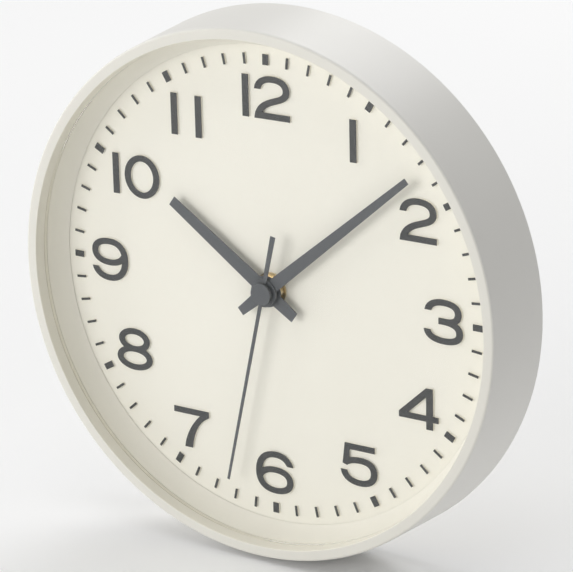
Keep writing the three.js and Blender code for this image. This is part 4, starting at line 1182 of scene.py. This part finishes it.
# %% Motor
taken("stator", "stator_sheet", spring_steel, "clock", "spring_steel", 0.08 * MM)
taken("coil_core", "core_sheet", spring_steel, "clock", "spring_steel", 0.08 * MM)
taken("coil_bobbin", "bobbin_moulded", movement_black, "clock", "movement_black", 0.08 * MM)
wire_low, wire_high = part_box("coil_winding")
COIL_AXIS = (wire_low + wire_high) / 2
WIRE_RADIUS, WIRE_INNER, WIRE_PITCH = (wire_high.x - wire_low.x) / 2, 2 * MM, 0.3 * MM
turns = int((wire_high.z - wire_low.z) / WIRE_PITCH)
pitch = (wire_high.z - wire_low.z) / turns
wire_valley = WIRE_RADIUS - pitch * 0.3
wire_section = [(WIRE_INNER, wire_low.z), (wire_valley, wire_low.z)]
for i in range(turns):
    wire_section += [
        (WIRE_RADIUS, wire_low.z + (i + 0.5) * pitch),
        (wire_valley, wire_low.z + (i + 1) * pitch),
    ]
wire_section.append((WIRE_INNER, wire_high.z))
winding = spun("wire_winding", wire_section, 40, COIL_AXIS, "Z")
finished(winding, copper_wire, "clock", "copper_wire", "coil_winding", angle=60)
print(turns, "visible turns of wire")

# %% Board, chip and crystal
board = from_frame("circuit_board", "board_sheet")
softened(board, 0.06 * MM, 1)
finished(board, board_green, "clock", "board_green", "circuit_board")

chip_low, chip_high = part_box("control_chip")
CHIP_RADIUS, CHIP_HEIGHT = (chip_high.x - chip_low.x) / 2, chip_high.y - chip_low.y
CHIP_CENTRE = (chip_low + chip_high) / 2
dome = [
    (CHIP_RADIUS * math.cos(a), chip_low.y + CHIP_HEIGHT * math.sin(a) ** 0.8)
    for a in (math.radians(degrees) for degrees in (0, 10, 22, 36, 52, 70))
]
resin = spun("resin_blob", [(0, chip_low.y), *dome, (0, chip_high.y)], 40, CHIP_CENTRE)
finished(resin, movement_black, "clock", "movement_black", "control_chip", angle=60)

can_low, can_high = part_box("quartz_crystal")
CAN_RADIUS = (can_high.x - can_low.x) / 2
CAN_CENTRE = (can_low + can_high) / 2
can_section = [
    (0, can_low.z),
    (CAN_RADIUS - 0.15 * MM, can_low.z),
    (CAN_RADIUS, can_low.z + 0.1 * MM),
    (CAN_RADIUS, can_low.z + 0.4 * MM),
    (CAN_RADIUS - 0.08 * MM, can_low.z + 0.5 * MM),
    (CAN_RADIUS - 0.08 * MM, can_high.z - 0.35 * MM),
    (CAN_RADIUS - 0.35 * MM, can_high.z),
    (0, can_high.z),
]
crystal_can = spun("crystal_can", can_section, 32, CAN_CENTRE, "Z")
finished(crystal_can, spring_steel, "clock", "spring_steel", "quartz_crystal")

# %% [markdown]
# ## Battery and its contacts
# The battery is the largest thing to see from behind, so it is two pieces as in life: a steel
# can whose ends and button show, and the sleeve shrunk over it, which rolls in a little over
# both ends.

# %% Battery
BATTERY_AXIS = (battery_low + battery_high) / 2
BATTERY_RADIUS = (battery_high.z - battery_low.z) / 2
BUTTON_RADIUS, BUTTON_HEIGHT, FILM = 2.7 * MM, 1.1 * MM, 0.15 * MM
can_end = battery_high.x - BUTTON_HEIGHT
can_radius = BATTERY_RADIUS - FILM
CAN_EDGE = 0.9 * MM
battery_section = [
    (0, battery_low.x + 0.25 * MM),
    (4.2 * MM, battery_low.x + 0.25 * MM),
    (4.5 * MM, battery_low.x),
    (can_radius - CAN_EDGE, battery_low.x),
    (can_radius, battery_low.x + CAN_EDGE),
    (can_radius, can_end - CAN_EDGE),
    (can_radius - CAN_EDGE, can_end),
    (BUTTON_RADIUS + 0.3 * MM, can_end - 0.2 * MM),
    (BUTTON_RADIUS, can_end + 0.1 * MM),
    (BUTTON_RADIUS, battery_high.x - 0.3 * MM),
    (BUTTON_RADIUS - 0.3 * MM, battery_high.x),
    (0, battery_high.x),
]
steel_can = spun("battery_can", battery_section, 64, BATTERY_AXIS, "X")
finished(steel_can, screw_steel, "clock", "battery_sleeve", angle=40)
FILM_ROLL = 0.8 * MM
film_section = [
    (can_radius - FILM_ROLL, battery_low.x - 0.04 * MM),
    (BATTERY_RADIUS - FILM_ROLL * 0.6, battery_low.x),
    (BATTERY_RADIUS - FILM_ROLL * 0.15, battery_low.x + FILM_ROLL * 0.4),
    (BATTERY_RADIUS, battery_low.x + FILM_ROLL),
    (BATTERY_RADIUS, can_end - FILM_ROLL),
    (BATTERY_RADIUS - FILM_ROLL * 0.15, can_end - FILM_ROLL * 0.4),
    (BATTERY_RADIUS - FILM_ROLL * 0.6, can_end),
    (can_radius - FILM_ROLL, can_end + 0.04 * MM),
    (can_radius + 0.01 * MM, can_end - FILM_ROLL),
    (can_radius + 0.01 * MM, battery_low.x + FILM_ROLL),
]
sleeve = spun("battery_film", film_section, 64, BATTERY_AXIS, "X")
finished(sleeve, battery_sleeve, "clock", "battery_sleeve", "battery", angle=50)

taken("positive_contact", "positive_strip", spring_steel, "clock", "spring_steel", 0.06 * MM)
taken("negative_contact", "negative_leaf", spring_steel, "clock", "spring_steel", 0.03 * MM)
